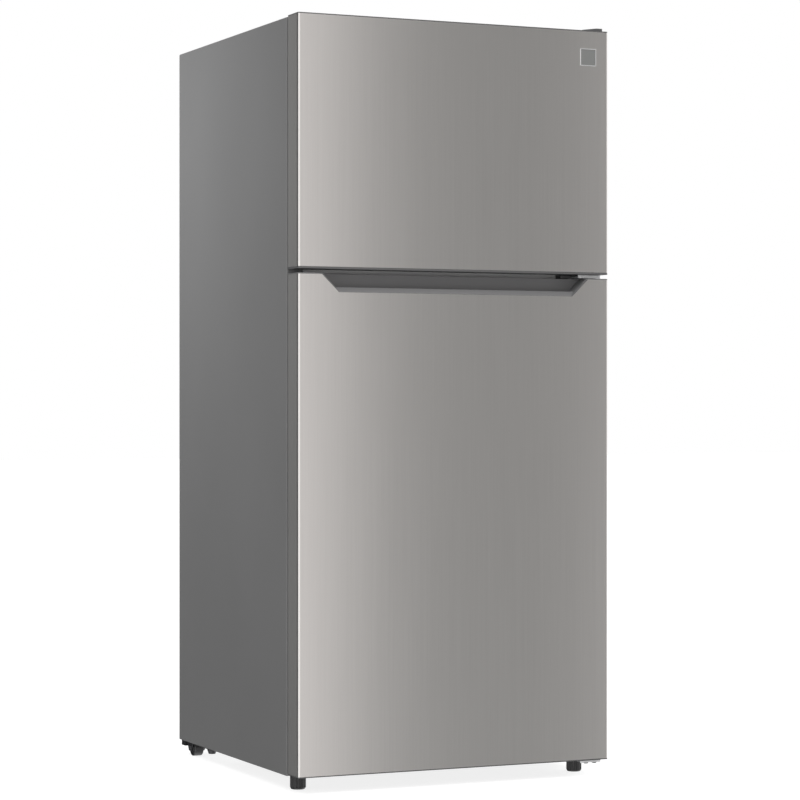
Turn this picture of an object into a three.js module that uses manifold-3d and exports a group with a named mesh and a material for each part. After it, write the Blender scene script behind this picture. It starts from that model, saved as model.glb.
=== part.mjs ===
// A top freezer refrigerator: an insulated steel cabinet on two front feet and two rear rollers, a freezer
// compartment over a fresh food compartment, two right-hinged doors, and the cooling machinery.
//
// Millimetres. +Z up, the floor at z = 0. The origin is the middle of the footprint: doors face -Y, the
// hinge side is +X. Every piece is one named mesh, placed where it sits with both doors closed.

import * as THREE from "three";
import { mergeVertices } from "three/addons/utils/BufferGeometryUtils.js";
import Module from "manifold-3d";

const wasm = await Module();
wasm.setup();

// ---------------------------------------------------------------- driving dimensions

const WIDTH = 750;
const DEPTH = 755; // badge to back
const HEIGHT = 1678;
const BADGE_PROUD = 1.5; // the badge stands this far off the freezer door
const GAP = 0.3; // between pieces that touch
const SHEET = 1; // steel sheet
const PLASTIC = 2.5; // liners, bins and drawers

const HALF = WIDTH / 2;
const DOOR_FRONT = -DEPTH / 2 + BADGE_PROUD;
const DOOR_THICKNESS = 60;
const DOOR_BACK = DOOR_FRONT + DOOR_THICKNESS;
const SEAL_SPACE = 6; // door back to cabinet front, filled by the gasket
const CABINET_FRONT = DOOR_BACK + SEAL_SPACE;
const CABINET_BACK = DEPTH / 2;
const CABINET_BOTTOM = 33;
const CABINET_TOP = 1667;

// Compartments, inside their liners.
const FRIDGE = { half: 325, bottom: 95, top: 1085, back: 321, stepFront: 110, stepTop: 275 };
const FREEZER = { half: 315, bottom: 1150, top: 1607, back: 316 };
const FLANGE_HALF = 338; // the liners' front flanges end here and the outer wrapper's begin
const FLANGE_TOP = 1633;
const RAIL = { bottom: 1090, top: 1146 }; // steel rail between the two openings
const KICK_TOP = 72; // turned-up front edge of the base pan
const MACHINE = { front: 155, top: 236 }; // machine compartment at the bottom of the back

// Doors, outside. The gaskets lie on the cabinet's front face.
const FRIDGE_DOOR = { bottom: 36, top: 1114, bottomLip: 2, sealBottom: 56, sealTop: 1105.5 };
const FREEZER_DOOR = { bottom: 1123.3, top: 1669, bottomLip: 4.2, sealBottom: 1131.5, sealTop: 1649 };
const DOOR_EDGE_RADIUS = 4;
const SKIN_RETURN = 7.6; // stainless front wraps this far round each side
const REAR_CHAMFER = { hinge: 5, handle: 1.2 }; // the hinge side has to clear the cabinet as it turns
const TOP_LIP = 2; // a door's top cap shows this much above the skin, its bottom cap a bottomLip below it
const CAP_DEPTH = 14;
const DOOR_FLANGE = 22; // the door frame's flange behind the gasket
const SEAL_HALF = 355;
const SEAL_WIDTH = 14;
const RIDGE_DEPTH = 48; // the door liner's rim reaches this far into the cabinet
const RIDGE_WIDTH = 32;
const RIDGE_CLEAR = 12; // between that rim and the compartment's walls

// Hinge line, common to both doors.
const HINGE = { x: 357, y: -344, pin: 4, hole: 4.6 };

// Pocket handle in the top of the fridge door: a trapezoid opening with a sloped lip.
const POCKET = {
  x: 2,
  topHalf: 322.4,
  bottomHalf: 283,
  bottom: 1073.5,
  lipRise: 11,
  floor: 1060,
  back: -334,
  housingBottom: 1048,
};

const SHELF = { half: 318, front: -190, back: 295, glass: 5 };
const UPPER_SHELF_Z = 780;
const LOWER_SHELF_Z = 520;
const CRISPER_COVER_Z = 285;
const CRISPER = { inner: 4, outer: 317, front: -190, back: 104, bottom: 98, top: 270 };

const ROUND = 24; // sides of a large round piece
const SMALL_ROUND = 12; // sides of a pin or a small hole

// ---------------------------------------------------------------- solids

/** A closed geometry as a solid that can be cut and joined. */
function solid(geometry) {
  const bare = geometry.index ? geometry.toNonIndexed() : geometry.clone();
  bare.deleteAttribute("normal");
  bare.deleteAttribute("uv");
  const merged = mergeVertices(bare, 1e-4);
  return new wasm.Manifold(
    new wasm.Mesh({
      numProp: 3,
      vertProperties: merged.attributes.position.array,
      triVerts: new Uint32Array(merged.index.array),
    }),
  );
}

/** A rectangular block from its [low, high] in x, y and z. */
function block([x0, x1], [y0, y1], [z0, z1]) {
  const geometry = new THREE.BoxGeometry(x1 - x0, y1 - y0, z1 - z0);
  return solid(geometry.translate((x0 + x1) / 2, (y0 + y1) / 2, (z0 + z1) / 2));
}

/** A block centred on x = 0. */
const wide = (half, y, z) => block([-half, half], y, z);

const shapeOf = (points) => new THREE.Shape(points.map(([u, v]) => new THREE.Vector2(u, v)));

/** Extrudes a counter-clockwise outline, then lays its axes along the three given directions. */
function extrude(points, length, [along, up, out]) {
  const geometry = new THREE.ExtrudeGeometry(shapeOf(points), { depth: length, bevelEnabled: false });
  return geometry.applyMatrix4(new THREE.Matrix4().makeBasis(along, up, out));
}

const X = new THREE.Vector3(1, 0, 0);
const Y = new THREE.Vector3(0, 1, 0);
const Z = new THREE.Vector3(0, 0, 1);

/** An outline in (y, z), extruded from x0 to x1. */
const alongX = (points, x0, x1) => solid(extrude(points, x1 - x0, [Y, Z, X]).translate(x0, 0, 0));

/** An outline in (x, z), extruded from y0 to y1. */
const alongY = (points, y0, y1) =>
  solid(extrude(points, y1 - y0, [X, Z, Y.clone().negate()]).translate(0, y1, 0));

/** An outline in (x, y), extruded from z0 to z1. */
const alongZ = (points, z0, z1) => solid(extrude(points, z1 - z0, [X, Y, Z]).translate(0, 0, z0));

/** A round bar along "x", "y" or "z" from its start to its end, round the two other coordinates. */
function bar(axis, [u, v], [start, end], radius, sides = SMALL_ROUND, endRadius = radius) {
  const geometry = new THREE.CylinderGeometry(endRadius, radius, end - start, sides);
  const middle = (start + end) / 2;
  if (axis === "z") return solid(geometry.rotateX(Math.PI / 2).translate(u, v, middle));
  if (axis === "y") return solid(geometry.translate(u, middle, v));
  return solid(geometry.rotateZ(-Math.PI / 2).translate(middle, u, v));
}

/** Joins a list of solids. */
const join = (solids) => solids.reduce((a, b) => a.add(b));

/** Whole numbers from 0 to count - 1. */
const range = (count) => Array.from({ length: count }, (_, i) => i);

// ---------------------------------------------------------------- finishes

const finish = (color, roughness, metalness = 0) => ({ color, roughness, metalness });
const STAINLESS = finish(0xb4b1ad, 0.38, 1);
const GREY_PAINT = finish(0x77777a, 0.5, 0.2);
const DARK_GREY_PLASTIC = finish(0x515152, 0.55);
const WHITE_PLASTIC = finish(0xf0f1f0, 0.35);
const CLEAR_PLASTIC = { ...finish(0xdfe9ec, 0.15), transparent: true, opacity: 0.45 };
const SHELF_GLASS = { ...finish(0xcfe3dd, 0.05), transparent: true, opacity: 0.35 };
const BLACK_PLASTIC = finish(0x242424, 0.5);
const BLACK_STEEL = finish(0x1d1d1e, 0.45, 0.5);
const ZINC = finish(0xc4c6c8, 0.3, 1);
const ALUMINIUM = finish(0xc9cbcd, 0.35, 1);
const COPPER = finish(0xb5704a, 0.35, 1);
const GALVANISED = finish(0x9fa2a4, 0.5, 0.9);
const FOAM = finish(0xe6d9a8, 0.95);
const GREY_RUBBER = finish(0x4b4b4c, 0.8);

const fridge = new THREE.Group();

/** Adds one piece to the model under its own name. */
function add(name, shape, look) {
  const { vertProperties, triVerts } = shape.getMesh();
  const geometry = new THREE.BufferGeometry();
  geometry.setAttribute("position", new THREE.BufferAttribute(vertProperties, 3));
  geometry.setIndex(new THREE.BufferAttribute(triVerts, 1));
  geometry.computeVertexNormals();
  const mesh = new THREE.Mesh(geometry, new THREE.MeshStandardMaterial(look));
  mesh.name = name;
  fridge.add(mesh);
}

// ---------------------------------------------------------------- cabinet

/** The fresh food space, grown by g on every side but the front. Its floor steps up over the machinery. */
function fridgeSpace(g, front) {
  const { half, bottom, top, back, stepFront, stepTop } = FRIDGE;
  const low = wide(half + g, [front, stepFront + g], [bottom - g, top + g]);
  return low.add(wide(half + g, [front, back + g], [stepTop - g, top + g]));
}

/** The freezer space, grown by g on every side but the front. */
function freezerSpace(g, front) {
  const { half, bottom, top, back } = FREEZER;
  return wide(half + g, [front, back + g], [bottom - g, top + g]);
}

const BEFORE_FRONT = CABINET_FRONT - 5;

/** Painted steel sides and top in one bent sheet, with its flange turned in round the front. */
function outerWrapper() {
  const outside = wide(HALF, [CABINET_FRONT, CABINET_BACK], [CABINET_BOTTOM, CABINET_TOP]);
  const inside = wide(
    HALF - SHEET,
    [CABINET_FRONT + SHEET, CABINET_BACK + 1],
    [CABINET_BOTTOM - 1, CABINET_TOP - SHEET],
  );
  const mouth = wide(FLANGE_HALF, [BEFORE_FRONT, CABINET_FRONT + 2], [0, FLANGE_TOP]);
  return outside.subtract(inside).subtract(mouth);
}

/** Bottom sheet: turned up at the front, stepped over the machine compartment and down its two sides. */
function basePan() {
  const front = CABINET_FRONT + SHEET + GAP;
  const back = CABINET_BACK - SHEET - GAP;
  const low = CABINET_BOTTOM;
  const { front: riser, top } = MACHINE;
  const outline = [
    [front, low],
    [riser, low],
    [riser, top - SHEET],
    [back, top - SHEET],
    [back, top],
    [riser - SHEET, top],
    [riser - SHEET, low + SHEET],
    [front, low + SHEET],
  ];
  const pan = alongX(outline, -(HALF - SHEET - GAP), HALF - SHEET - GAP);
  const kick = wide(FLANGE_HALF - GAP, [CABINET_FRONT, CABINET_FRONT + SHEET + 1], [low, KICK_TOP - GAP]);
  const side = block([HALF - 3 * SHEET - GAP, HALF - SHEET - GAP], [riser - SHEET, back], [low, top]);
  return join([pan, kick, side, side.mirror([1, 0, 0])]).subtract(footHoles(6.5));
}

const FOOT = { x: 338, y: -283, radius: 17.3, stud: 5 };

/** Clearance for the two feet's threaded studs. */
function footHoles(radius) {
  const hole = (x) => bar("z", [x, FOOT.y], [CABINET_BOTTOM - 10, CABINET_BOTTOM + 24], radius);
  return hole(FOOT.x).add(hole(-FOOT.x));
}

/** Foamed-in insulation that fills the walls, the divider and the space over the machinery. */
function insulation() {
  const side = HALF - SHEET - GAP;
  const front = CABINET_FRONT + SHEET + GAP;
  const body = wide(side, [front, CABINET_BACK - SHEET - GAP], [
    CABINET_BOTTOM + SHEET + GAP,
    CABINET_TOP - SHEET - GAP,
  ]);
  const machine = wide(HALF, [MACHINE.front - SHEET - GAP, CABINET_BACK], [0, MACHINE.top + GAP]);
  const kick = wide(FLANGE_HALF, [BEFORE_FRONT, front + 1], [0, KICK_TOP]);
  return body
    .subtract(fridgeSpace(PLASTIC + GAP, BEFORE_FRONT))
    .subtract(freezerSpace(PLASTIC + GAP, BEFORE_FRONT))
    .subtract(machine)
    .subtract(kick)
    .subtract(footHoles(8));
}

/** A pair of moulded shelf ribs, one on each side wall. */
function shelfRibs(half, [front, back], z) {
  const rib = block([half - 9, half + 1], [front, back], [z - 7, z]);
  return rib.add(rib.mirror([1, 0, 0]));
}

/** A moulded liner: a thin skin round the space, a front flange and shelf ribs. */
function liner(space, { half, bottom, top }, [flangeBottom, flangeTop], ribs) {
  const skin = space(PLASTIC, CABINET_FRONT).subtract(space(0, BEFORE_FRONT));
  const flange = wide(FLANGE_HALF - GAP, [CABINET_FRONT, CABINET_FRONT + SHEET], [flangeBottom, flangeTop]);
  const mouth = wide(half, [BEFORE_FRONT, CABINET_FRONT + 2], [bottom, top]);
  return join([skin, flange.subtract(mouth), ...ribs]);
}

function cabinet() {
  add("outer_wrapper", outerWrapper(), GREY_PAINT);
  add("base_pan", basePan(), GREY_PAINT);
  add("insulation", insulation(), FOAM);

  const back = HALF - SHEET - GAP;
  const panel = wide(back, [CABINET_BACK - SHEET, CABINET_BACK], [MACHINE.top, CABINET_TOP - SHEET - GAP]);
  add("rear_panel", panel, GALVANISED);

  const ribSpan = [SHELF.front + 20, SHELF.back - 5];
  const shelfHeights = [CRISPER_COVER_Z, 400, LOWER_SHELF_Z, 650, UPPER_SHELF_Z, 910];
  const fridgeRibs = shelfHeights.map((z) => shelfRibs(FRIDGE.half, ribSpan, z - GAP));
  add("fridge_liner", liner(fridgeSpace, FRIDGE, [KICK_TOP, RAIL.bottom - GAP], fridgeRibs), WHITE_PLASTIC);

  const freezerRibs = [1260, FREEZER_SHELF.z].map((z) => shelfRibs(FREEZER.half, [-190, 200], z - GAP));
  const freezerFlange = [RAIL.top + GAP, FLANGE_TOP - GAP];
  add("freezer_liner", liner(freezerSpace, FREEZER, freezerFlange, freezerRibs), WHITE_PLASTIC);

  const rail = wide(FLANGE_HALF - GAP, [CABINET_FRONT, CABINET_FRONT + SHEET], [RAIL.bottom, RAIL.top]);
  add("center_rail", rail, GREY_PAINT);
}

// ---------------------------------------------------------------- feet and rollers

/** A ribbed levelling foot with its stud, round the z axis at x. */
function foot(x) {
  const ribs = 16;
  const outline = range(ribs * 2).map((i) => {
    const radius = i % 2 ? FOOT.radius - 1 : FOOT.radius;
    const angle = (i * Math.PI) / ribs;
    return [x + radius * Math.cos(angle), FOOT.y + radius * Math.sin(angle)];
  });
  const sleeve = alongZ(outline, 3, CABINET_BOTTOM - 3.6);
  const sole = bar("z", [x, FOOT.y], [0, 3], FOOT.radius - 3, ROUND, FOOT.radius - 1);
  const stud = bar("z", [x, FOOT.y], [CABINET_BOTTOM - 4, CABINET_BOTTOM + 18], FOOT.stud);
  return join([sleeve, sole, stud]);
}

const ROLLER = { radius: 19, y: 314, x: [343, 365], axle: 4 };

/** The slot that a rear roller needs in whatever lies over it. */
function rollerSlot() {
  const length = [ROLLER.y - 22, ROLLER.y + 22];
  return block([341.5, 366.5], length, [CABINET_BOTTOM - 4, CABINET_BOTTOM + 6]);
}

/** Black steel channel that carries a rear roller on its axle, with a glide cone in front of it. */
function rollerBracket() {
  const top = CABINET_BOTTOM - GAP;
  const plate = block([337, 371], [MACHINE.front + 5, CABINET_BACK - 6], [top - 3, top]);
  const cheek = [[296, top - 2], [306, 12], [322, 12], [332, top - 2]];
  const cheeks = [337, 368].map((x) => alongX(cheek.slice().reverse(), x, x + 3));
  const tail = block([337, 371], [348, CABINET_BACK - 6], [20, top - 2]);
  const flange = block([337, 340], [209, 300], [25, top - 2]);
  const glide = bar("z", [354, 209], [17, top - 2], 8, ROUND, 13);
  const axle = bar("x", [ROLLER.y, ROLLER.radius], [337.5, 370.5], ROLLER.axle);
  return join([plate.subtract(rollerSlot()), ...cheeks, tail, flange, glide, axle]);
}

/** A plastic roller with a bore for the axle. */
function roller() {
  const wheel = bar("x", [ROLLER.y, ROLLER.radius], ROLLER.x, ROLLER.radius, ROUND);
  return wheel.subtract(bar("x", [ROLLER.y, ROLLER.radius], [330, 380], ROLLER.axle + 0.5));
}

function feetAndRollers() {
  add("front_foot_left", foot(-FOOT.x), BLACK_PLASTIC);
  add("front_foot_right", foot(FOOT.x), BLACK_PLASTIC);
  add("rear_roller_bracket_right", rollerBracket(), BLACK_STEEL);
  add("rear_roller_bracket_left", rollerBracket().mirror([1, 0, 0]), BLACK_STEEL);
  add("rear_roller_right", roller(), BLACK_PLASTIC);
  add("rear_roller_left", roller().mirror([1, 0, 0]), BLACK_PLASTIC);
}

// ---------------------------------------------------------------- hinges

const hingePin = (span) => bar("z", [HINGE.x, HINGE.y], span, HINGE.pin);
const pinHole = (span) => bar("z", [HINGE.x, HINGE.y], span, HINGE.hole);

/** Zinc plate on the cabinet's top, stepped up over the door, with its pin. */
function topHingeBracket() {
  const low = CABINET_TOP + GAP;
  const high = FREEZER_DOOR.top + 1.2;
  const outline = [
    [-350, high],
    [-314, high],
    [-306, low],
    [-250, low],
    [-250, low + 3],
    [-306, low + 3],
    [-314, high + 3],
    [-350, high + 3],
  ];
  return alongX(outline, 341, 368).add(hingePin([FREEZER_DOOR.top - 11, high + 1]));
}

/** Moulded cover over the top hinge, sloping down towards the middle of the door. */
function topHingeCover() {
  const overDoor = FREEZER_DOOR.top + 1;
  const outline = (inset, bottom) => [
    [322 + inset, bottom],
    [371.3 - inset, bottom],
    [371.3 - inset, HEIGHT - inset],
    [358, HEIGHT - inset],
    [354, HEIGHT - 0.4 - inset],
    [322 + inset, HEIGHT - 4.8 - inset],
  ];
  const shell = alongY(outline(0, overDoor), -356, -240);
  const skirt = block([322, 371.3], [-309, -240], [CABINET_TOP + GAP, overDoor + 0.1]);
  const hollow = alongY(outline(1.8, overDoor - 5), -353.5, -242);
  return shell.add(skirt).subtract(hollow);
}

/** Zinc bracket screwed to the rail between the doors, with a folded front lip and a pin each way. */
function centerHingeBracket() {
  const flange = block([304, 364], [-312.3, CABINET_FRONT - GAP], [1107, 1130]);
  const arm = block([310, 366], [-356, -311], [1117, 1120]);
  const lip = block([310, 366], [-356, -353], [1115.6, 1122.8]);
  return join([flange, arm, lip, hingePin([1102, 1136])]);
}

/** Zinc bracket under the cabinet that carries the fridge door's lower pin. */
function bottomHingeBracket() {
  const top = CABINET_BOTTOM - GAP;
  const plate = block([316, 367], [-356, -232], [top - 3, top]);
  const lip = block([316, 367], [-356, -353], [28, top]);
  const hole = bar("z", [FOOT.x, FOOT.y], [0, 60], 6.5);
  return join([plate, lip, hingePin([top - 1, FRIDGE_DOOR.bottom + 11])]).subtract(hole);
}

function hinges() {
  add("top_hinge_bracket", topHingeBracket(), ZINC);
  add("top_hinge_cover", topHingeCover(), DARK_GREY_PLASTIC);
  add("center_hinge_bracket", centerHingeBracket(), ZINC);
  const cover = block([276, 303.7], [-336, CABINET_FRONT - GAP], [1115, 1122.6]);
  add("center_hinge_cover", cover, BLACK_PLASTIC);
  add("bottom_hinge_bracket", bottomHingeBracket(), ZINC);
}

// ---------------------------------------------------------------- machine compartment

/** Hermetic compressor: a domed steel shell on a mounting plate with four grommets. */
function compressor() {
  const [x, y, floor] = [-190, 264, 44];
  const profile = [[0, 0], [70, 0], [78, 12], [78, 88], [66, 128], [40, 148], [0, 156]];
  const dome = new THREE.LatheGeometry(profile.map(([r, h]) => new THREE.Vector2(r, h)), ROUND);
  const shell = solid(dome.rotateX(Math.PI / 2).translate(x, y, floor));
  const plate = block([x - 100, x + 100], [y - 62, y + 62], [floor - 1, floor + 3]);
  const grommet = ([u, v]) => bar("z", [x + u, y + v], [36 - 0.6, floor], 9);
  const corners = [[-88, -50], [88, -50], [-88, 50], [88, 50]];
  const terminals = block([x + 70, x + 100], [y - 30, y + 30], [floor + 35, floor + 95]);
  return join([shell, plate, terminals, ...corners.map(grommet)]);
}

/** One condenser tube folded back and forth in a vertical plane. */
function condenserCoil() {
  const passes = 5;
  const [x0, x1, y, z0, pitch] = [60, 300, 300, 92, 22];
  const path = new THREE.CurvePath();
  for (const i of range(passes)) {
    const z = z0 + i * pitch;
    const ends = i % 2 ? [x1, x0] : [x0, x1];
    path.add(new THREE.LineCurve3(new THREE.Vector3(ends[0], y, z), new THREE.Vector3(ends[1], y, z)));
    if (i === passes - 1) continue;
    const side = i % 2 ? -1 : 1;
    const turn = range(7).map((k) => {
      const angle = -Math.PI / 2 + (k * Math.PI) / 6;
      const out = (side * pitch * Math.cos(angle)) / 2;
      return new THREE.Vector3(ends[1] + out, y, z + pitch / 2 + (pitch / 2) * Math.sin(angle));
    });
    for (const k of range(6)) path.add(new THREE.LineCurve3(turn[k], turn[k + 1]));
  }
  const section = range(6).map((k) => [4 * Math.cos((k * Math.PI) / 3), 4 * Math.sin((k * Math.PI) / 3)]);
  const options = { extrudePath: path, steps: 64, bevelEnabled: false };
  return solid(new THREE.ExtrudeGeometry(shapeOf(section), options));
}

/** An open-topped tray: a block with its inside taken out. */
function tray([x0, x1], [y0, y1], [z0, z1], wall = PLASTIC) {
  const inside = block([x0 + wall, x1 - wall], [y0 + wall, y1 - wall], [z0 + wall, z1 + 1]);
  return block([x0, x1], [y0, y1], [z0, z1]).subtract(inside);
}

/** Vented cover over the machine compartment, with the gland where the supply lead enters. */
function machineCover() {
  const front = CABINET_BACK - 6;
  let cover = wide(HALF - 3 * SHEET - 2 * GAP, [front, front + 2], [40, MACHINE.top - 3]);
  for (const row of range(2)) {
    for (const i of range(12)) {
      const x = -328 + i * 56;
      cover = cover.subtract(block([x, x + 40], [front - 1, front + 3], [148 + row * 34, 160 + row * 34]));
    }
  }
  const gland = bar("y", [-300, 90], [front + 1, CABINET_BACK], 14, ROUND);
  return cover.add(gland).subtract(bar("y", [-300, 90], [front - 1, CABINET_BACK + 1], 5));
}

function machinery() {
  const floor = [CABINET_BOTTOM, CABINET_BOTTOM + 2];
  const sheet = wide(HALF - 3 * SHEET - 2 * GAP, [MACHINE.front + GAP, CABINET_BACK - 7], floor);
  const slots = rollerSlot().add(rollerSlot().mirror([1, 0, 0]));
  add("compressor_tray", sheet.subtract(slots), GALVANISED);
  add("compressor", compressor(), BLACK_STEEL);
  add("condenser_coil", condenserCoil(), BLACK_STEEL);
  add("drain_pan", tray([40, 320], [175, 345], [CABINET_BOTTOM + 2.4, 76]), BLACK_PLASTIC);
  add("machine_cover", machineCover(), GALVANISED);
}

// ---------------------------------------------------------------- freezer compartment

const FREEZER_SHELF = { z: 1372, half: 309, front: -215, back: 205, wire: 4 };
const COLD_AIR = { y: 225, fanZ: 1470, fanRadius: 62 };

/** Epoxy-coated wire shelf: a rim, wires from front to back and two cross wires. */
function freezerShelf() {
  const { z, half, front, back, wire } = FREEZER_SHELF;
  const rim = wide(half, [front, back], [z, z + 5]);
  const hole = wide(half - 5, [front + 5, back - 5], [z - 1, z + 6]);
  const across = [-70, 70].map((y) => wide(half - 2, [y, y + wire], [z, z + 2]));
  const wires = range(15).map((i) => {
    const x = (i - 7) * 40;
    return block([x - 1.5, x + 1.5], [front + 2, back - 2], [z + 1, z + 4]);
  });
  return join([rim.subtract(hole), ...across, ...wires]);
}

/** White panel over the evaporator, with a fan outlet and a row of return slots. */
function evaporatorCover() {
  const { y, fanZ } = COLD_AIR;
  let cover = wide(FREEZER.half - 1, [y, y + 3], [FREEZER.bottom + 1, FREEZER.top - 1]);
  for (const i of range(7)) {
    const z = fanZ - 48 + i * 14;
    cover = cover.subtract(wide(92, [y - 1, y + 4], [z, z + 7]));
  }
  for (const i of range(12)) {
    const x = -280 + i * 48;
    cover = cover.subtract(block([x, x + 32], [y - 1, y + 4], [FREEZER.bottom + 9, FREEZER.bottom + 17]));
  }
  return cover;
}

/** Finned evaporator, modelled as one block with grooves between groups of fins. */
function evaporatorCoil() {
  let fins = wide(240, [244, 302], [1172, 1340]);
  for (const i of range(15)) {
    const x = -225 + i * 30;
    fins = fins.subtract(block([x, x + 15], [243, 262], [1170, 1342]));
  }
  return fins;
}

/** Fan motor held in its shroud ring by three struts. */
function fanMotor() {
  const { y, fanZ, fanRadius } = COLD_AIR;
  const start = y + 3 + GAP;
  const ring = bar("y", [0, fanZ], [start, start + 40], fanRadius + 4, ROUND);
  const open = bar("y", [0, fanZ], [start - 1, start + 41], fanRadius, ROUND);
  const motor = bar("y", [0, fanZ], [start + 32, start + 62], 24, ROUND);
  const shaft = bar("y", [0, fanZ], [start + 12, start + 33], 3);
  const strut = wide(fanRadius + 2, [start + 34, start + 39], [fanZ - 4, fanZ + 4]);
  const post = wide(4, [start + 34, start + 39], [fanZ - fanRadius - 2, fanZ]);
  return join([ring.subtract(open), motor, shaft, strut, post]);
}

/** Four-bladed fan on a hub, with a bore for the motor's shaft. */
function fanBlade() {
  const { y, fanZ } = COLD_AIR;
  const [front, back] = [y + 13, y + 33];
  const hub = bar("y", [0, fanZ], [front, back], 14, ROUND);
  const blades = range(4).map((i) => {
    const plate = new THREE.BoxGeometry(46, 2, 30).rotateX(0.45).translate(33, 0, 0);
    return solid(plate.rotateY((i * Math.PI) / 2).translate(0, (front + back) / 2, fanZ));
  });
  return join([hub, ...blades]).subtract(bar("y", [0, fanZ], [front - 1, back + 1], 3.6));
}

function freezerCompartment() {
  add("freezer_shelf", freezerShelf(), WHITE_PLASTIC);
  add("evaporator_cover", evaporatorCover(), WHITE_PLASTIC);
  add("evaporator_coil", evaporatorCoil(), ALUMINIUM);
  add("fan_motor", fanMotor(), BLACK_PLASTIC);
  add("fan_blade", fanBlade(), WHITE_PLASTIC);
}

// ---------------------------------------------------------------- fresh food compartment

/** A glass shelf whose top is at z plus its thickness. */
const glassShelf = (z) => wide(SHELF.half, [SHELF.front, SHELF.back], [z, z + SHELF.glass]);

/** Right crisper drawer: a deep tray with a grip along the top of its front. */
function crisper() {
  const { inner, outer, front, back, bottom, top } = CRISPER;
  const bin = tray([inner, outer], [front, back], [bottom, top]);
  const grip = block([inner + 60, outer - 60], [front - 8, front + 1], [top - 26, top - 22]);
  const edge = block([inner + 60, outer - 60], [front - 8, front - 5], [top - 34, top - 22]);
  return join([bin, grip, edge]);
}

/** Small slider on the crisper's front that opens its humidity vent. */
function humiditySlider() {
  const middle = (CRISPER.inner + CRISPER.outer) / 2;
  const plate = block([middle - 16, middle + 16], [CRISPER.front - 3.3, CRISPER.front - GAP], [214, 226]);
  return plate.add(block([middle - 3, middle + 3], [CRISPER.front - 8, CRISPER.front - 3], [215, 225]));
}

const HOUSING = { half: 150, front: -240, back: -40, bottom: 1040 };

/** Ceiling housing for the thermostat and the lamp, hollow and open below. */
function controlHousing() {
  const { half, front, back, bottom } = HOUSING;
  const top = FRIDGE.top - GAP;
  const body = wide(half, [front, back], [bottom, top]);
  const lampSpace = wide(80, [front + 50, back - 20], [bottom - 1, top - 6]);
  const dialHole = bar("y", DIAL.at, [front - 1, front + 20], 4.6);
  const buttonHole = bar("y", BUTTON.at, [front - 1, front + 30], 4.6);
  return body.subtract(lampSpace).subtract(dialHole).subtract(buttonHole);
}

const DIAL = { at: [-90, 1062], radius: 17 };
const BUTTON = { at: [120, 1058], tip: -267 };

/** Temperature dial with a finger bar and a spindle into the housing. */
function temperatureDial() {
  const front = HOUSING.front;
  const [x, z] = DIAL.at;
  const disc = bar("y", DIAL.at, [front - 7, front - GAP - 0.5], DIAL.radius, ROUND);
  const grip = block([x - 3, x + 3], [front - 14, front - 6], [z - 14, z + 14]);
  return join([disc, grip, bar("y", DIAL.at, [front - 2, front + 16], 4)]);
}

/** Lamp switch button that the door presses. */
const lightSwitchButton = () => bar("y", BUTTON.at, [BUTTON.tip, HOUSING.front + 14], 4);

function foodCompartment() {
  add("upper_shelf", glassShelf(UPPER_SHELF_Z), SHELF_GLASS);
  add("lower_shelf", glassShelf(LOWER_SHELF_Z), SHELF_GLASS);
  add("crisper_cover", glassShelf(CRISPER_COVER_Z), SHELF_GLASS);
  add("crisper_right", crisper(), CLEAR_PLASTIC);
  add("crisper_left", crisper().mirror([1, 0, 0]), CLEAR_PLASTIC);
  add("humidity_slider_right", humiditySlider(), WHITE_PLASTIC);
  add("humidity_slider_left", humiditySlider().mirror([1, 0, 0]), WHITE_PLASTIC);
  add("control_housing", controlHousing(), WHITE_PLASTIC);
  const lens = wide(79, [HOUSING.front + 51, HOUSING.back - 21], [HOUSING.bottom, HOUSING.bottom + 2]);
  add("light_lens", lens, CLEAR_PLASTIC);
  add("temperature_dial", temperatureDial(), WHITE_PLASTIC);
  add("light_switch_button", lightSwitchButton(), WHITE_PLASTIC);
}

// ---------------------------------------------------------------- doors

/** The door's plan outline, inset by t: round front corners, small chamfers at the back. */
function doorOutline(t) {
  const [half, front, back] = [HALF - t, DOOR_FRONT + t, DOOR_BACK];
  const radius = DOOR_EDGE_RADIUS - t;
  const steps = 4;
  const corner = (side) =>
    range(steps + 1).map((i) => {
      const angle = (i * Math.PI) / 2 / steps;
      return [side * (half - radius + radius * Math.sin(angle)), front + radius - radius * Math.cos(angle)];
    });
  const growth = t * Math.tan(Math.PI / 8);
  const [hinge, handle] = [REAR_CHAMFER.hinge + growth, REAR_CHAMFER.handle + growth];
  return [
    ...corner(1),
    [half, back - hinge],
    [half - hinge, back],
    [handle - half, back],
    [-half, back - handle],
    ...corner(-1).reverse(),
  ];
}

/** The whole door block between two heights, inset by t in plan. */
const doorBlock = (t, z) => alongZ(doorOutline(t), z[0], z[1]);

/** The part of space beside the pocket handle's opening in the door's front: a long trapezoid. */
function pocketPrism(margin, [front, back]) {
  const { x, topHalf, bottomHalf, bottom } = POCKET;
  const top = FRIDGE_DOOR.top + 5;
  const slope = (topHalf - bottomHalf) / (FRIDGE_DOOR.top - bottom);
  const topEdge = topHalf + slope * 5 + margin;
  const outline = [
    [x + bottomHalf + margin, bottom - margin],
    [x + topEdge, top],
    [x - topEdge, top],
    [x - bottomHalf - margin, bottom - margin],
  ];
  return alongY(outline, front, back);
}

/** Lower and upper end of a door's steel, between its two caps. */
const steelSpan = ({ bottom, bottomLip, top }) => [bottom + bottomLip + GAP, top - TOP_LIP - GAP];

/** Brushed stainless front of a door, bent round its two sides. */
function doorSkin(door) {
  const z = steelSpan(door);
  const sheet = doorBlock(0, z).subtract(doorBlock(SHEET, [z[0] - 1, z[1] + 1]));
  return sheet.subtract(wide(HALF + 1, [DOOR_FRONT + SKIN_RETURN, DOOR_BACK + 1], [door.bottom, door.top]));
}

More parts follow.
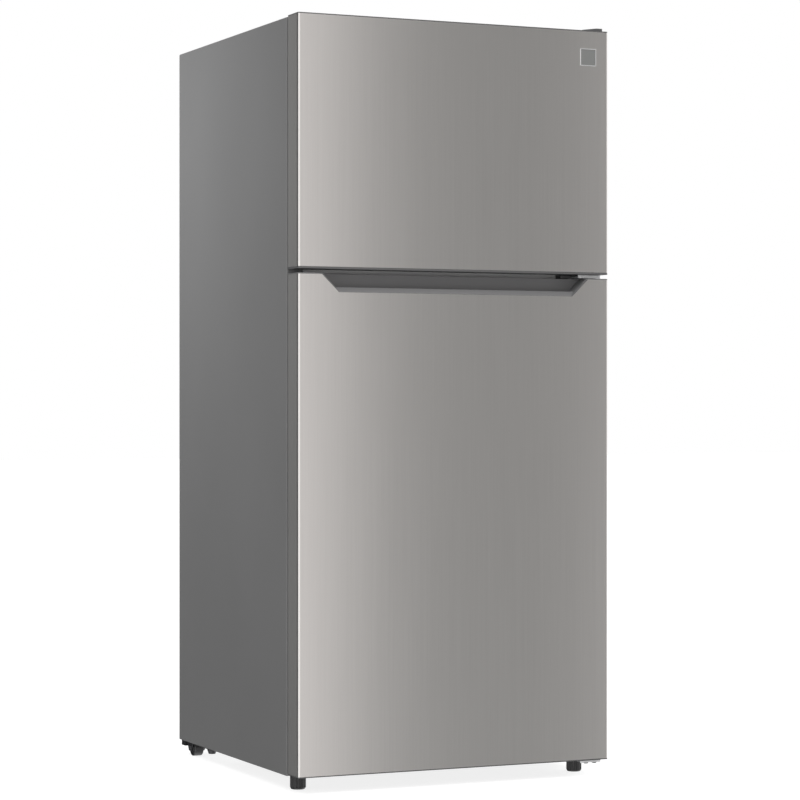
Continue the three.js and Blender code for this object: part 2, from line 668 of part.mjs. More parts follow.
/** Painted steel sides of a door, joined by a narrow flange round its back. */
function doorFrame(door) {
  const z = steelSpan(door);
  const front = DOOR_FRONT + SKIN_RETURN + GAP;
  const sides = doorBlock(0, z).subtract(doorBlock(SHEET, [z[0] - 1, z[1] + 1]));
  const back = doorBlock(0, z).intersect(wide(HALF, [DOOR_BACK - SHEET, DOOR_BACK], z));
  const window = wide(HALF - DOOR_FLANGE - 2, [DOOR_BACK - 5, DOOR_BACK + 1], [
    z[0] + DOOR_FLANGE,
    z[1] - DOOR_FLANGE,
  ]);
  return sides
    .add(back)
    .subtract(wide(HALF + 1, [DOOR_FRONT - 1, front], [door.bottom, door.top]))
    .subtract(window);
}

/** A moulded cap that closes one end of a door: a thin plate to the outside, a plug inside the skin. */
function doorCap({ bottom, bottomLip, top }, atTop) {
  const plate = atTop ? [top - TOP_LIP, top] : [bottom, bottom + bottomLip];
  const plug = atTop ? [top - CAP_DEPTH, top - 1] : [bottom + 1, bottom + CAP_DEPTH];
  const inner = doorBlock(SHEET + GAP, plug).intersect(
    wide(HALF, [DOOR_FRONT, DOOR_BACK - SHEET - GAP], plug),
  );
  const hole = atTop ? [top - CAP_DEPTH + 1, top + 1] : [bottom - 1, bottom + CAP_DEPTH - 1];
  return doorBlock(0, plate).add(inner).subtract(pinHole(hole));
}

/** Foam core of a door, between its caps, its skin and its liner. */
function doorFoam({ bottom, top }) {
  const z = [bottom + CAP_DEPTH + GAP, top - CAP_DEPTH - GAP];
  return doorBlock(SHEET + GAP, z).intersect(wide(HALF, [DOOR_FRONT, DOOR_BACK - 2 - GAP], z));
}

/** Moulded inner face of a door: a flat plate with a raised rim that fits inside the compartment. */
function doorLiner(door, space) {
  const [low, high] = steelSpan(door);
  const plate = wide(HALF - DOOR_FLANGE - 2 - GAP, [DOOR_BACK - 2, DOOR_BACK], [
    low + DOOR_FLANGE + GAP,
    high - DOOR_FLANGE - GAP,
  ]);
  const half = space.half - RIDGE_CLEAR;
  const z = [space.bottom + RIDGE_CLEAR - 2, space.top - RIDGE_CLEAR + 2];
  const rim = wide(half, [DOOR_BACK - 1, DOOR_BACK + RIDGE_DEPTH], z);
  const inside = wide(half - RIDGE_WIDTH, [DOOR_BACK, DOOR_BACK + RIDGE_DEPTH + 1], [
    z[0] + RIDGE_WIDTH,
    z[1] - RIDGE_WIDTH,
  ]);
  return plate.add(rim.subtract(inside));
}

/** Magnetic gasket: a flat ring between the door and the cabinet's front. */
function gasket({ sealBottom, sealTop }) {
  const y = [DOOR_BACK + GAP, CABINET_FRONT - GAP];
  const ring = wide(SEAL_HALF, y, [sealBottom, sealTop]);
  const inside = [sealBottom + SEAL_WIDTH, sealTop - SEAL_WIDTH];
  return ring.subtract(wide(SEAL_HALF - SEAL_WIDTH, [y[0] - 1, y[1] + 1], inside));
}

const binHalf = (space) => space.half - RIDGE_CLEAR - RIDGE_WIDTH - 2;

/** A door bin as deep as given, hung between the rims of the door's liner. */
function doorBin(space, depth, z) {
  const half = binHalf(space);
  return tray([-half, half], [DOOR_BACK + GAP, DOOR_BACK + GAP + depth], z);
}

/** The parts that both doors have. */
function commonDoorParts(prefix, door, space) {
  add(prefix + "_frame", doorFrame(door), GREY_PAINT);
  add(prefix + "_bottom_cap", doorCap(door, false), DARK_GREY_PLASTIC);
  add(prefix + "_liner", doorLiner(door, space), WHITE_PLASTIC);
  add(prefix + "_gasket", gasket(door), GREY_RUBBER);
}

function freezerDoor() {
  commonDoorParts("freezer_door", FREEZER_DOOR, FREEZER);
  add("freezer_door_skin", doorSkin(FREEZER_DOOR), STAINLESS);
  add("freezer_door_top_cap", doorCap(FREEZER_DOOR, true), DARK_GREY_PLASTIC);
  add("freezer_door_foam", doorFoam(FREEZER_DOOR), FOAM);
  add("freezer_door_lower_bin", doorBin(FREEZER, 72, [1196, 1266]), CLEAR_PLASTIC);
  add("freezer_door_upper_bin", doorBin(FREEZER, 72, [1392, 1462]), CLEAR_PLASTIC);

  const badge = block([304.5, 344], [DOOR_FRONT - BADGE_PROUD, DOOR_FRONT - GAP], [1589.7, 1628]);
  add("badge", badge, ALUMINIUM);
}

/** The pocket handle's hollow: up and over a sloped lip, then down behind it, open above. */
function pocketHollow() {
  const { bottom, lipRise, floor, back } = POCKET;
  const lipTop = bottom + lipRise;
  const above = FRIDGE_DOOR.top + 4;
  const outline = [
    [DOOR_FRONT - 1, bottom - 1],
    [DOOR_FRONT + lipRise, lipTop],
    [DOOR_FRONT + lipRise + 3, lipTop],
    [DOOR_FRONT + lipRise + 5, floor],
    [back - 2, floor],
    [back, above],
    [DOOR_FRONT - 1, above],
  ];
  return alongX(outline, -HALF, HALF);
}

/** Fridge door's top cap, deepened across the middle to form the pocket handle. */
function handleCap() {
  const { topHalf, housingBottom, back } = POCKET;
  const housing = wide(
    topHalf + 10,
    [DOOR_FRONT + SHEET + GAP, back + 4],
    [housingBottom, FRIDGE_DOOR.top - 1],
  );
  const sill = pocketPrism(-GAP, [DOOR_FRONT, DOOR_FRONT + SHEET + 1]);
  const belowTop = wide(HALF, [DOOR_FRONT - 1, DOOR_BACK], [0, FRIDGE_DOOR.top - 1]);
  const hollow = pocketHollow().intersect(pocketSpace());
  return join([doorCap(FRIDGE_DOOR, true), housing, sill.intersect(belowTop)]).subtract(hollow);
}

/** Everything between the pocket's two end walls, which slope as its opening does and then drop straight. */
function pocketSpace() {
  const { x, bottomHalf, housingBottom, bottom } = POCKET;
  const depth = [DOOR_FRONT - 2, DOOR_BACK];
  const straight = block([x - bottomHalf + 2, x + bottomHalf - 2], depth, [housingBottom, bottom + 3]);
  return pocketPrism(-GAP - 1, depth).add(straight);
}

/** Dairy bin with end walls tall enough to hold its lid. */
function dairyBin() {
  const half = binHalf(FRIDGE);
  const y = [DOOR_BACK + GAP, DOOR_BACK + GAP + 80];
  const ends = [-half, half - PLASTIC].map((x) => block([x, x + PLASTIC], y, [840, 966]));
  const holes = bar("x", [DAIRY_HINGE.y, DAIRY_HINGE.z], [-HALF, HALF], 3.2);
  return join([tray([-half, half], y, [830, 890]), ...ends]).subtract(holes);
}

const DAIRY_HINGE = { y: -308, z: 958 };

/** Flip-up lid of the dairy bin: a top and a front, on two pins. */
function dairyCover() {
  const half = binHalf(FRIDGE) - PLASTIC - 0.7;
  const front = DOOR_BACK + 82;
  const top = wide(half, [-311, front], [956, 960]);
  const face = wide(half, [front - 3, front], [893, 957]);
  const pins = bar("x", [DAIRY_HINGE.y, DAIRY_HINGE.z], [-half - 2.4, half + 2.4], 2.5);
  return join([top, face, pins]);
}

function fridgeDoor() {
  commonDoorParts("fridge_door", FRIDGE_DOOR, FRIDGE);
  const { topHalf, housingBottom, back } = POCKET;
  const notch = pocketPrism(0, [DOOR_FRONT - 1, DOOR_FRONT + SHEET + 0.5]);
  add("fridge_door_skin", doorSkin(FRIDGE_DOOR).subtract(notch), STAINLESS);
  add("fridge_door_top_cap", handleCap(), DARK_GREY_PLASTIC);
  const housing = wide(
    topHalf + 10 + GAP,
    [DOOR_FRONT, back + 4 + GAP],
    [housingBottom - GAP, FRIDGE_DOOR.top],
  );
  add("fridge_door_foam", doorFoam(FRIDGE_DOOR).subtract(housing), FOAM);
  add("bottle_bin", doorBin(FRIDGE, 60, [142, 214]), CLEAR_PLASTIC);
  add("gallon_bin", doorBin(FRIDGE, 108, [430, 545]), CLEAR_PLASTIC);
  add("dairy_bin", dairyBin(), CLEAR_PLASTIC);
  add("dairy_cover", dairyCover(), CLEAR_PLASTIC);
}

cabinet();
feetAndRollers();
hinges();
machinery();
freezerCompartment();
foodCompartment();
freezerDoor();
fridgeDoor();

export default fridge;
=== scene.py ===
"""Looks of a top freezer refrigerator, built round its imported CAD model.

Every length is in metres, in the frame of the CAD model: +Z up, the doors face -Y and the hinges are at +X.
Each sub-assembly is a class whose fields hold its sizes, and each finish is a class that makes one material.
"""

import logging
import math
from collections.abc import Callable, Iterable, Sequence
from dataclasses import dataclass
from enum import Enum

import bmesh
import bpy
from mathutils import Matrix, Vector


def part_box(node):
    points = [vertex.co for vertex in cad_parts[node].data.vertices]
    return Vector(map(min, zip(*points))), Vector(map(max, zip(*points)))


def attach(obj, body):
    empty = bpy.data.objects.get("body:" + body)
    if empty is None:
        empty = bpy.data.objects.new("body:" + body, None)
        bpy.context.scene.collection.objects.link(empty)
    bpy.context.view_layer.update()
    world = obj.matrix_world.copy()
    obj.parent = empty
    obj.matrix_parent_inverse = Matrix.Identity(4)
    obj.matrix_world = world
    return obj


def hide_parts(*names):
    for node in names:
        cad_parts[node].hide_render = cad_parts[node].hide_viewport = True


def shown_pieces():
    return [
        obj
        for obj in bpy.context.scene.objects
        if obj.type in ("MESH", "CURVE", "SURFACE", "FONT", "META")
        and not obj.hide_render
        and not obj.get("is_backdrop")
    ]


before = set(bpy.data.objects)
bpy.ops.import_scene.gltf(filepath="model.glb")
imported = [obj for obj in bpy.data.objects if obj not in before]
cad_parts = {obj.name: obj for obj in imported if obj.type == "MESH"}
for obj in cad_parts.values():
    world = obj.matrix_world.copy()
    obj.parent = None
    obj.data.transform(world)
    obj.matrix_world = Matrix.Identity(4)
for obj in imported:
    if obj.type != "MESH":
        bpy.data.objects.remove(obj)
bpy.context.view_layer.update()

LOG = logging.getLogger("refrigerator")
MM = 0.001

Point = tuple[float, float, float]
Flat = tuple[float, float]
Colour = tuple[float, float, float]


# ------------------------------------------------------------------ shader maths


class Wire:
    """An output socket whose arithmetic adds Math nodes."""

    def __init__(self, tree: "Tree", socket: bpy.types.NodeSocket) -> None:
        """Holds the socket and the tree that it belongs to."""
        self.tree = tree
        self.socket = socket

    def math(self, operation: str, *others: "Wire | float") -> "Wire":
        """Adds a Math node.

        Args:
            operation: the node's operation, such as "ADD".
            others: the second and third operands.

        Returns:
            The node's result.
        """
        operands = dict(enumerate((self, *others)))
        return self.tree.node("ShaderNodeMath", {"operation": operation}, operands)

    def __add__(self, other: "Wire | float") -> "Wire":
        """This plus other."""
        return self.math("ADD", other)

    def __mul__(self, other: "Wire | float") -> "Wire":
        """This times other."""
        return self.math("MULTIPLY", other)

    def __sub__(self, other: "Wire | float") -> "Wire":
        """This minus other."""
        return self.math("SUBTRACT", other)

    def __rsub__(self, other: float) -> "Wire":
        """Other minus this."""
        return self * -1 + other

    __radd__ = __add__
    __rmul__ = __mul__

    def band(self, start: float, end: float) -> "Wire":
        """A smooth step.

        Args:
            start: the value where the result is 0.
            end: the value where the result is 1.

        Returns:
            The step, from 0 to 1.
        """
        ends = {"Value": self, "From Min": start, "From Max": end}
        return self.tree.node("ShaderNodeMapRange", {"interpolation_type": "SMOOTHSTEP"}, ends)


class Tree:
    """A node tree that makes, sets and links its nodes."""

    def __init__(self, tree: bpy.types.NodeTree) -> None:
        """Empties a tree and holds it.

        Args:
            tree: the node tree of a material or of the world.
        """
        self.nodes = tree.nodes
        self.links = tree.links
        self.nodes.clear()

    def plug(self, socket: bpy.types.NodeSocket, value: object) -> None:
        """Links a wire to an input socket, or sets the socket's own value.

        Args:
            socket: the input.
            value: a wire, or the value.
        """
        if isinstance(value, Wire):
            self.links.new(value.socket, socket)
        else:
            socket.default_value = value

    def node(
        self,
        kind: str,
        settings: dict[str, object] | None = None,
        sockets: dict[str | int, object] | None = None,
        output: str | int = 0,
    ) -> Wire:
        """Adds a node.

        Args:
            kind: the node's type.
            settings: its properties, set first; "stops" holds a colour ramp's stops.
            sockets: values or wires for its inputs.
            output: the output to return.

        Returns:
            The chosen output.
        """
        made = self.nodes.new(kind)
        for key, value in (settings or {}).items():
            if key == "stops":
                self.set_stops(made.color_ramp, value)
            else:
                setattr(made, key, value)
        for key, value in (sockets or {}).items():
            self.plug(made.inputs[key], value)
        return Wire(self, made.outputs[output])

    @staticmethod
    def set_stops(ramp: bpy.types.ColorRamp, stops: Sequence[tuple[float, Colour]]) -> None:
        """Gives a colour ramp its stops.

        Args:
            ramp: the ramp, whose stops are replaced.
            stops: (place, colour) pairs in order.
        """
        while len(ramp.elements) < len(stops):
            ramp.elements.new(1.0)
        for element, (place, colour) in zip(ramp.elements, stops):
            element.position = place
            element.color = (*colour, 1.0)


class Surface(Tree):
    """A material with one Principled surface."""

    def __init__(self, name: str) -> None:
        """Makes the material, its output and its surface.

        Args:
            name: the material's name.
        """
        self.material = bpy.data.materials.new(name)
        self.material.use_nodes = True
        super().__init__(self.material.node_tree)
        self.shader = self.nodes.new("ShaderNodeBsdfPrincipled")
        output = self.nodes.new("ShaderNodeOutputMaterial")
        self.links.new(self.shader.outputs["BSDF"], output.inputs["Surface"])

    def set(self, **values: object) -> None:
        """Sets or links the surface's sockets; an underscore stands for a space."""
        for key, value in values.items():
            self.plug(self.shader.inputs[key.replace("_", " ")], value)

    def place(self, scale: Point) -> Wire:
        """The point on the piece, in metres, times a scale on each axis."""
        where = self.node("ShaderNodeTexCoord", output="Object")
        return self.node("ShaderNodeMapping", {}, {"Vector": where, "Scale": scale})

    def noise(self, scale: Point, detail: float = 3.0, distortion: float = 0.0) -> Wire:
        """Smooth noise.

        Args:
            scale: features per metre along each axis.
            detail: octaves.
            distortion: how far the noise folds on itself.

        Returns:
            The noise, round 0.5.
        """
        sockets = {
            "Vector": self.place(scale),
            "Scale": 1.0,
            "Detail": detail,
            "Distortion": distortion,
        }
        return self.node("ShaderNodeTexNoise", {}, sockets)

    def tint(self, factor: Wire, low: Colour, high: Colour) -> Wire:
        """A colour that runs from low to high with the factor."""
        return self.node("ShaderNodeValToRGB", {"stops": [(0.3, low), (0.7, high)]}, {"Fac": factor})

    def bump(self, height: Wire, strength: float, distance: float) -> None:
        """Roughens the surface.

        Args:
            height: the relief, from 0 to 1.
            strength: how much of it shows.
            distance: its full height in metres.
        """
        sockets = {"Height": height, "Strength": strength, "Distance": distance}
        self.set(Normal=self.node("ShaderNodeBump", {}, sockets))


def shade(colour: Colour, factor: float) -> Colour:
    """A colour made lighter or darker by a factor."""
    return tuple(min(1.0, part * factor) for part in colour)


# ------------------------------------------------------------------ finishes


@dataclass(frozen=True)
class Finish:
    """A finish: its name, the name of the slot that it belongs to, and its colour."""

    name: str
    slot: str
    colour: Colour

    def material(self) -> bpy.types.Material:
        """Makes the finish's material at its first use.

        Returns:
            The material, the same one each time.
        """
        found = bpy.data.materials.get(self.name)
        if found:
            return found
        surface = Surface(self.name)
        self.dress(surface)
        return surface.material

    def dress(self, surface: Surface) -> None:
        """Sets the surface's sockets."""
        raise NotImplementedError


@dataclass(frozen=True)
class BrushedSteel(Finish):
    """Stainless sheet with an upright grain under a thin lacquer."""

    grain: float = 1500.0
    roughness: float = 0.3

    def dress(self, surface: Surface) -> None:
        """Long thin scratches change the colour, the gloss and the relief a little.

        Args:
            surface: the material's surface.
        """
        fine = surface.noise((self.grain, self.grain, 5.0), 4.0)
        broad = surface.noise((self.grain / 6, self.grain / 6, 1.2), 2.0)
        grain = fine * 0.65 + broad * 0.35
        surface.set(
            Base_Color=surface.tint(grain, shade(self.colour, 0.96), shade(self.colour, 1.035)),
            Metallic=1.0,
            Roughness=grain * 0.10 + (self.roughness - 0.05),
            Coat_Weight=0.12,
            Coat_Roughness=0.35,
        )
        surface.bump(grain, 0.12, 0.00004)


@dataclass(frozen=True)
class Paint(Finish):
    """Sprayed or powder-coated metal with a fine orange peel."""

    roughness: float = 0.42
    peel: float = 700.0

    def dress(self, surface: Surface) -> None:
        """A fine skin over slow variation in tone.

        Args:
            surface: the material's surface.
        """
        peel = surface.noise((self.peel,) * 3, 2.0)
        cloud = surface.noise((3.0, 3.0, 2.0), 3.0)
        surface.set(
            Base_Color=surface.tint(cloud, shade(self.colour, 0.97), shade(self.colour, 1.03)),
            Roughness=peel * 0.10 + (self.roughness - 0.05),
            Specular_IOR_Level=0.45,
        )
        surface.bump(peel, 0.18, 0.00008)


@dataclass(frozen=True)
class Moulding(Finish):
    """Opaque moulded plastic, from glossy to spark-eroded."""

    roughness: float = 0.35
    grain: float = 1400.0
    relief: float = 0.1

    def dress(self, surface: Surface) -> None:
        """Fine mould grain, and faint flow marks in the gloss.

        Args:
            surface: the material's surface.
        """
        grain = surface.noise((self.grain,) * 3, 3.0)
        flow = surface.noise((9.0, 9.0, 4.0), 3.0, 0.6)
        surface.set(
            Base_Color=surface.tint(flow, shade(self.colour, 0.994), shade(self.colour, 1.005)),
            Roughness=flow * 0.03 + grain * 0.06 + (self.roughness - 0.045),
            Specular_IOR_Level=0.5,
        )
        surface.bump(grain, self.relief, 0.00006)


@dataclass(frozen=True)
class Clear(Finish):
    """Clear moulded plastic or glass."""

    ior: float = 1.49
    roughness: float = 0.04
    haze: float = 0.03

    def dress(self, surface: Surface) -> None:
        """See-through, with faint flow marks in the gloss and the colour.

        Args:
            surface: the material's surface.
        """
        flow = surface.noise((14.0, 14.0, 9.0), 3.0, 0.8)
        surface.set(
            Base_Color=surface.tint(flow, shade(self.colour, 0.995), self.colour),
            Roughness=flow * self.haze + self.roughness,
            Transmission_Weight=0.92,
            IOR=self.ior,
        )
        surface.bump(flow, 0.015, 0.0002)


@dataclass(frozen=True)
class Plating(Finish):
    """Zinc plate or bare machined metal."""

    roughness: float = 0.28

    def dress(self, surface: Surface) -> None:
        """Mottled by the bath and finely scratched.

        Args:
            surface: the material's surface.
        """
        mottle = surface.noise((120.0,) * 3, 5.0, 0.5)
        scratch = surface.noise((1800.0, 90.0, 1800.0), 2.0)
        surface.set(
            Base_Color=surface.tint(mottle, shade(self.colour, 0.88), shade(self.colour, 1.06)),
            Metallic=1.0,
            Roughness=mottle * 0.14 + scratch * 0.08 + (self.roughness - 0.11),
        )
        surface.bump(scratch, 0.08, 0.00005)


@dataclass(frozen=True)
class Galvanised(Finish):
    """Hot-dipped sheet with its crystal spangle."""

    spangle: float = 110.0

    def dress(self, surface: Surface) -> None:
        """Each crystal has its own tone and gloss.

        Args:
            surface: the material's surface.
        """
        sockets = {"Vector": surface.place((self.spangle,) * 3), "Scale": 1.0, "Randomness": 1.0}
        crystal = surface.node("ShaderNodeTexVoronoi", {}, sockets, "Color")
        tone = surface.node("ShaderNodeSeparateColor", {}, {"Color": crystal}, "Red")
        cloud = surface.noise((30.0,) * 3, 4.0)
        mixed = tone * 0.6 + cloud * 0.4
        surface.set(
            Base_Color=surface.tint(mixed, shade(self.colour, 0.93), shade(self.colour, 1.04)),
            Metallic=0.85,
            Roughness=mixed * 0.12 + 0.4,
        )
        surface.bump(mixed, 0.1, 0.0001)


@dataclass(frozen=True)
class Foam(Finish):
    """Rigid foam with a skin of small cells."""

    def dress(self, surface: Surface) -> None:
        """Cells in relief, darker between.

        Args:
            surface: the material's surface.
        """
        sockets = {"Vector": surface.place((350.0,) * 3), "Scale": 1.0}
        cells = surface.node("ShaderNodeTexVoronoi", {}, sockets, "Distance")
        surface.set(
            Base_Color=surface.tint(cells, shade(self.colour, 0.8), self.colour),
            Roughness=cells * 0.1 + 0.85,
        )
        surface.bump(cells, 0.4, 0.0006)


@dataclass(frozen=True)
class Rubber(Finish):
    """Soft vinyl or rubber, dusty in its grain."""

    def dress(self, surface: Surface) -> None:
        """Matt, with a fine bloom.

        Args:
            surface: the material's surface.
        """
        grain = surface.noise((900.0,) * 3, 3.0)
        bloom = surface.noise((60.0,) * 3, 4.0)
        surface.set(
            Base_Color=surface.tint(bloom, shade(self.colour, 0.85), shade(self.colour, 1.15)),
            Roughness=grain * 0.12 + 0.55,
        )
        surface.bump(grain, 0.15, 0.00008)


@dataclass(frozen=True)
class Glow(Finish):
    """A frosted lens with a lamp behind it."""

    strength: float = 1.5

    def dress(self, surface: Surface) -> None:
        """Brighter and duller over the lamp's rows.

        Args:
            surface: the material's surface.
        """
        rows = surface.noise((60.0, 60.0, 10.0), 2.0)
        surface.set(
            Base_Color=surface.tint(rows, shade(self.colour, 0.92), self.colour),
            Roughness=rows * 0.1 + 0.35,
            Emission_Color=surface.tint(rows, shade(self.colour, 0.8), self.colour),
            Emission_Strength=self.strength,
        )
        surface.bump(rows, 0.1, 0.0002)


class Finishes(Enum):
    """The refrigerator's finishes."""

    STAINLESS = BrushedSteel("brushed_stainless", "stainless_front", (0.60, 0.588, 0.57))
    CABINET_GREY = Paint("cabinet_grey_paint", "grey_paint", (0.125, 0.125, 0.1255), 0.3)
    DOOR_GREY = Paint("door_side_grey_paint", "grey_paint", (0.135, 0.133, 0.130), 0.3)
    # Lighter than the cabinet's grey: painted light, standing in for the light that the deep gap between the
    # doors keeps off the rail.
    RAIL_GREY = Paint("rail_grey_paint", "grey_paint", (0.40, 0.40, 0.40))
    DARK_TRIM = Moulding("dark_grey_moulding", "dark_grey_plastic", (0.062, 0.062, 0.063), 0.45, 1600, 0.2)
    HANDLE_TRIM = Moulding(
        "handle_grey_moulding", "dark_grey_plastic", (0.112, 0.112, 0.113), 0.42, 1600, 0.2
    )
    BADGE_GREY = Moulding("badge_grey", "dark_grey_plastic", (0.118, 0.121, 0.118), 0.35, 1600, 0.1)
    LINER_WHITE = Moulding("white_liner", "white_plastic", (0.69, 0.705, 0.71), 0.28, 900.0, 0.06)
    TRIM_WHITE = Moulding("white_moulding", "white_plastic", (0.72, 0.73, 0.735), 0.32, 1400.0, 0.08)
    BLACK_MOULDING = Moulding("black_moulding", "black_plastic", (0.022, 0.022, 0.023), 0.42, 1300.0, 0.2)
    FOOT_BLACK = Moulding("foot_black_moulding", "black_plastic", (0.010, 0.010, 0.0105), 0.45, 1300.0, 0.2)
    COATED_WIRE = Paint("white_coated_wire", "white_coated_wire", (0.78, 0.79, 0.795), 0.3)
    BLACK_ENAMEL = Paint("black_enamel", "black_steel", (0.016, 0.016, 0.018), 0.3, 500.0)
    CLEAR_BIN = Clear("clear_bin", "clear_plastic", (0.93, 0.965, 0.975), 1.49, 0.05)
    SHELF_GLASS = Clear("shelf_glass", "shelf_glass", (0.86, 0.955, 0.92), 1.5, 0.0, 0.01)
    ZINC = Plating("zinc_plate", "zinc_plate", (0.74, 0.75, 0.76))
    ALUMINIUM = Plating("satin_aluminium", "aluminium", (0.78, 0.785, 0.79), 0.34)
    COPPER = Plating("copper_tube", "black_steel", (0.72, 0.36, 0.22), 0.3)
    GALVANISED = Galvanised("galvanised_sheet", "galvanised_steel", (0.44, 0.45, 0.455))
    FOAM = Foam("insulating_foam", "insulating_foam", (0.72, 0.62, 0.36))
    SEAL = Rubber("grey_seal", "grey_rubber", (0.075, 0.075, 0.077))
    GROMMET = Rubber("black_rubber", "black_plastic", (0.02, 0.02, 0.02))
    LENS = Glow("lamp_lens", "clear_plastic", (0.95, 0.97, 1.0))


# ------------------------------------------------------------------ mesh making


class Axis(Enum):
    """The row's axis that a drawing's depth lies along; a drawing is u across, v up and w deep."""

    X = Matrix(((0, 0, 1, 0), (1, 0, 0, 0), (0, 1, 0, 0), (0, 0, 0, 1)))
    Y = Matrix(((1, 0, 0, 0), (0, 0, 1, 0), (0, 1, 0, 0), (0, 0, 0, 1)))
    Z = Matrix.Identity(4)

    def put(self, u: float, v: float, w: float) -> Vector:
        """The point in the row frame of a drawing's point."""
        return self.value @ Vector((u, v, w))


def rectangle(lo: Flat, hi: Flat, radius: float, steps: int = 5) -> list[Flat]:
    """A rectangle with round corners.

    Args:
        lo: its lowest corner.
        hi: its highest corner.
        radius: of the corners.
        steps: pieces in each corner's arc.

    Returns:
        Its points, anticlockwise.
    """
    radius = max(1e-6, min(radius, (hi[0] - lo[0]) / 2 - 1e-6, (hi[1] - lo[1]) / 2 - 1e-6))
    centres = [
        (hi[0] - radius, hi[1] - radius),
        (lo[0] + radius, hi[1] - radius),
        (lo[0] + radius, lo[1] + radius),
        (hi[0] - radius, lo[1] + radius),
    ]
    points = []
    for turn, (u, v) in enumerate(centres):
        for step in range(steps + 1):
            angle = (turn + step / steps) * math.pi / 2
            points.append((u + radius * math.cos(angle), v + radius * math.sin(angle)))
    return points


def circle(centre: Flat, radius: float, sides: int = 24) -> list[Flat]:
    """A circle's points, anticlockwise."""
    turns = [2 * math.pi * side / sides for side in range(sides)]
    return [(centre[0] + radius * math.cos(t), centre[1] + radius * math.sin(t)) for t in turns]


def slot_shape(lo: Flat, hi: Flat, steps: int = 4) -> list[Flat]:
    """A slot with round ends, between two corners."""
    return rectangle(lo, hi, min(hi[0] - lo[0], hi[1] - lo[1]) / 2, steps)


def spread(count: int, lo: float, hi: float) -> list[float]:
    """Evenly spaced numbers from lo to hi."""
    return [lo + (hi - lo) * i / (count - 1) for i in range(count)]


def quarter(steps: int) -> list[float]:
    """Evenly spaced angles from 0 to a right angle."""
    return [math.pi / 2 * i / steps for i in range(steps + 1)]


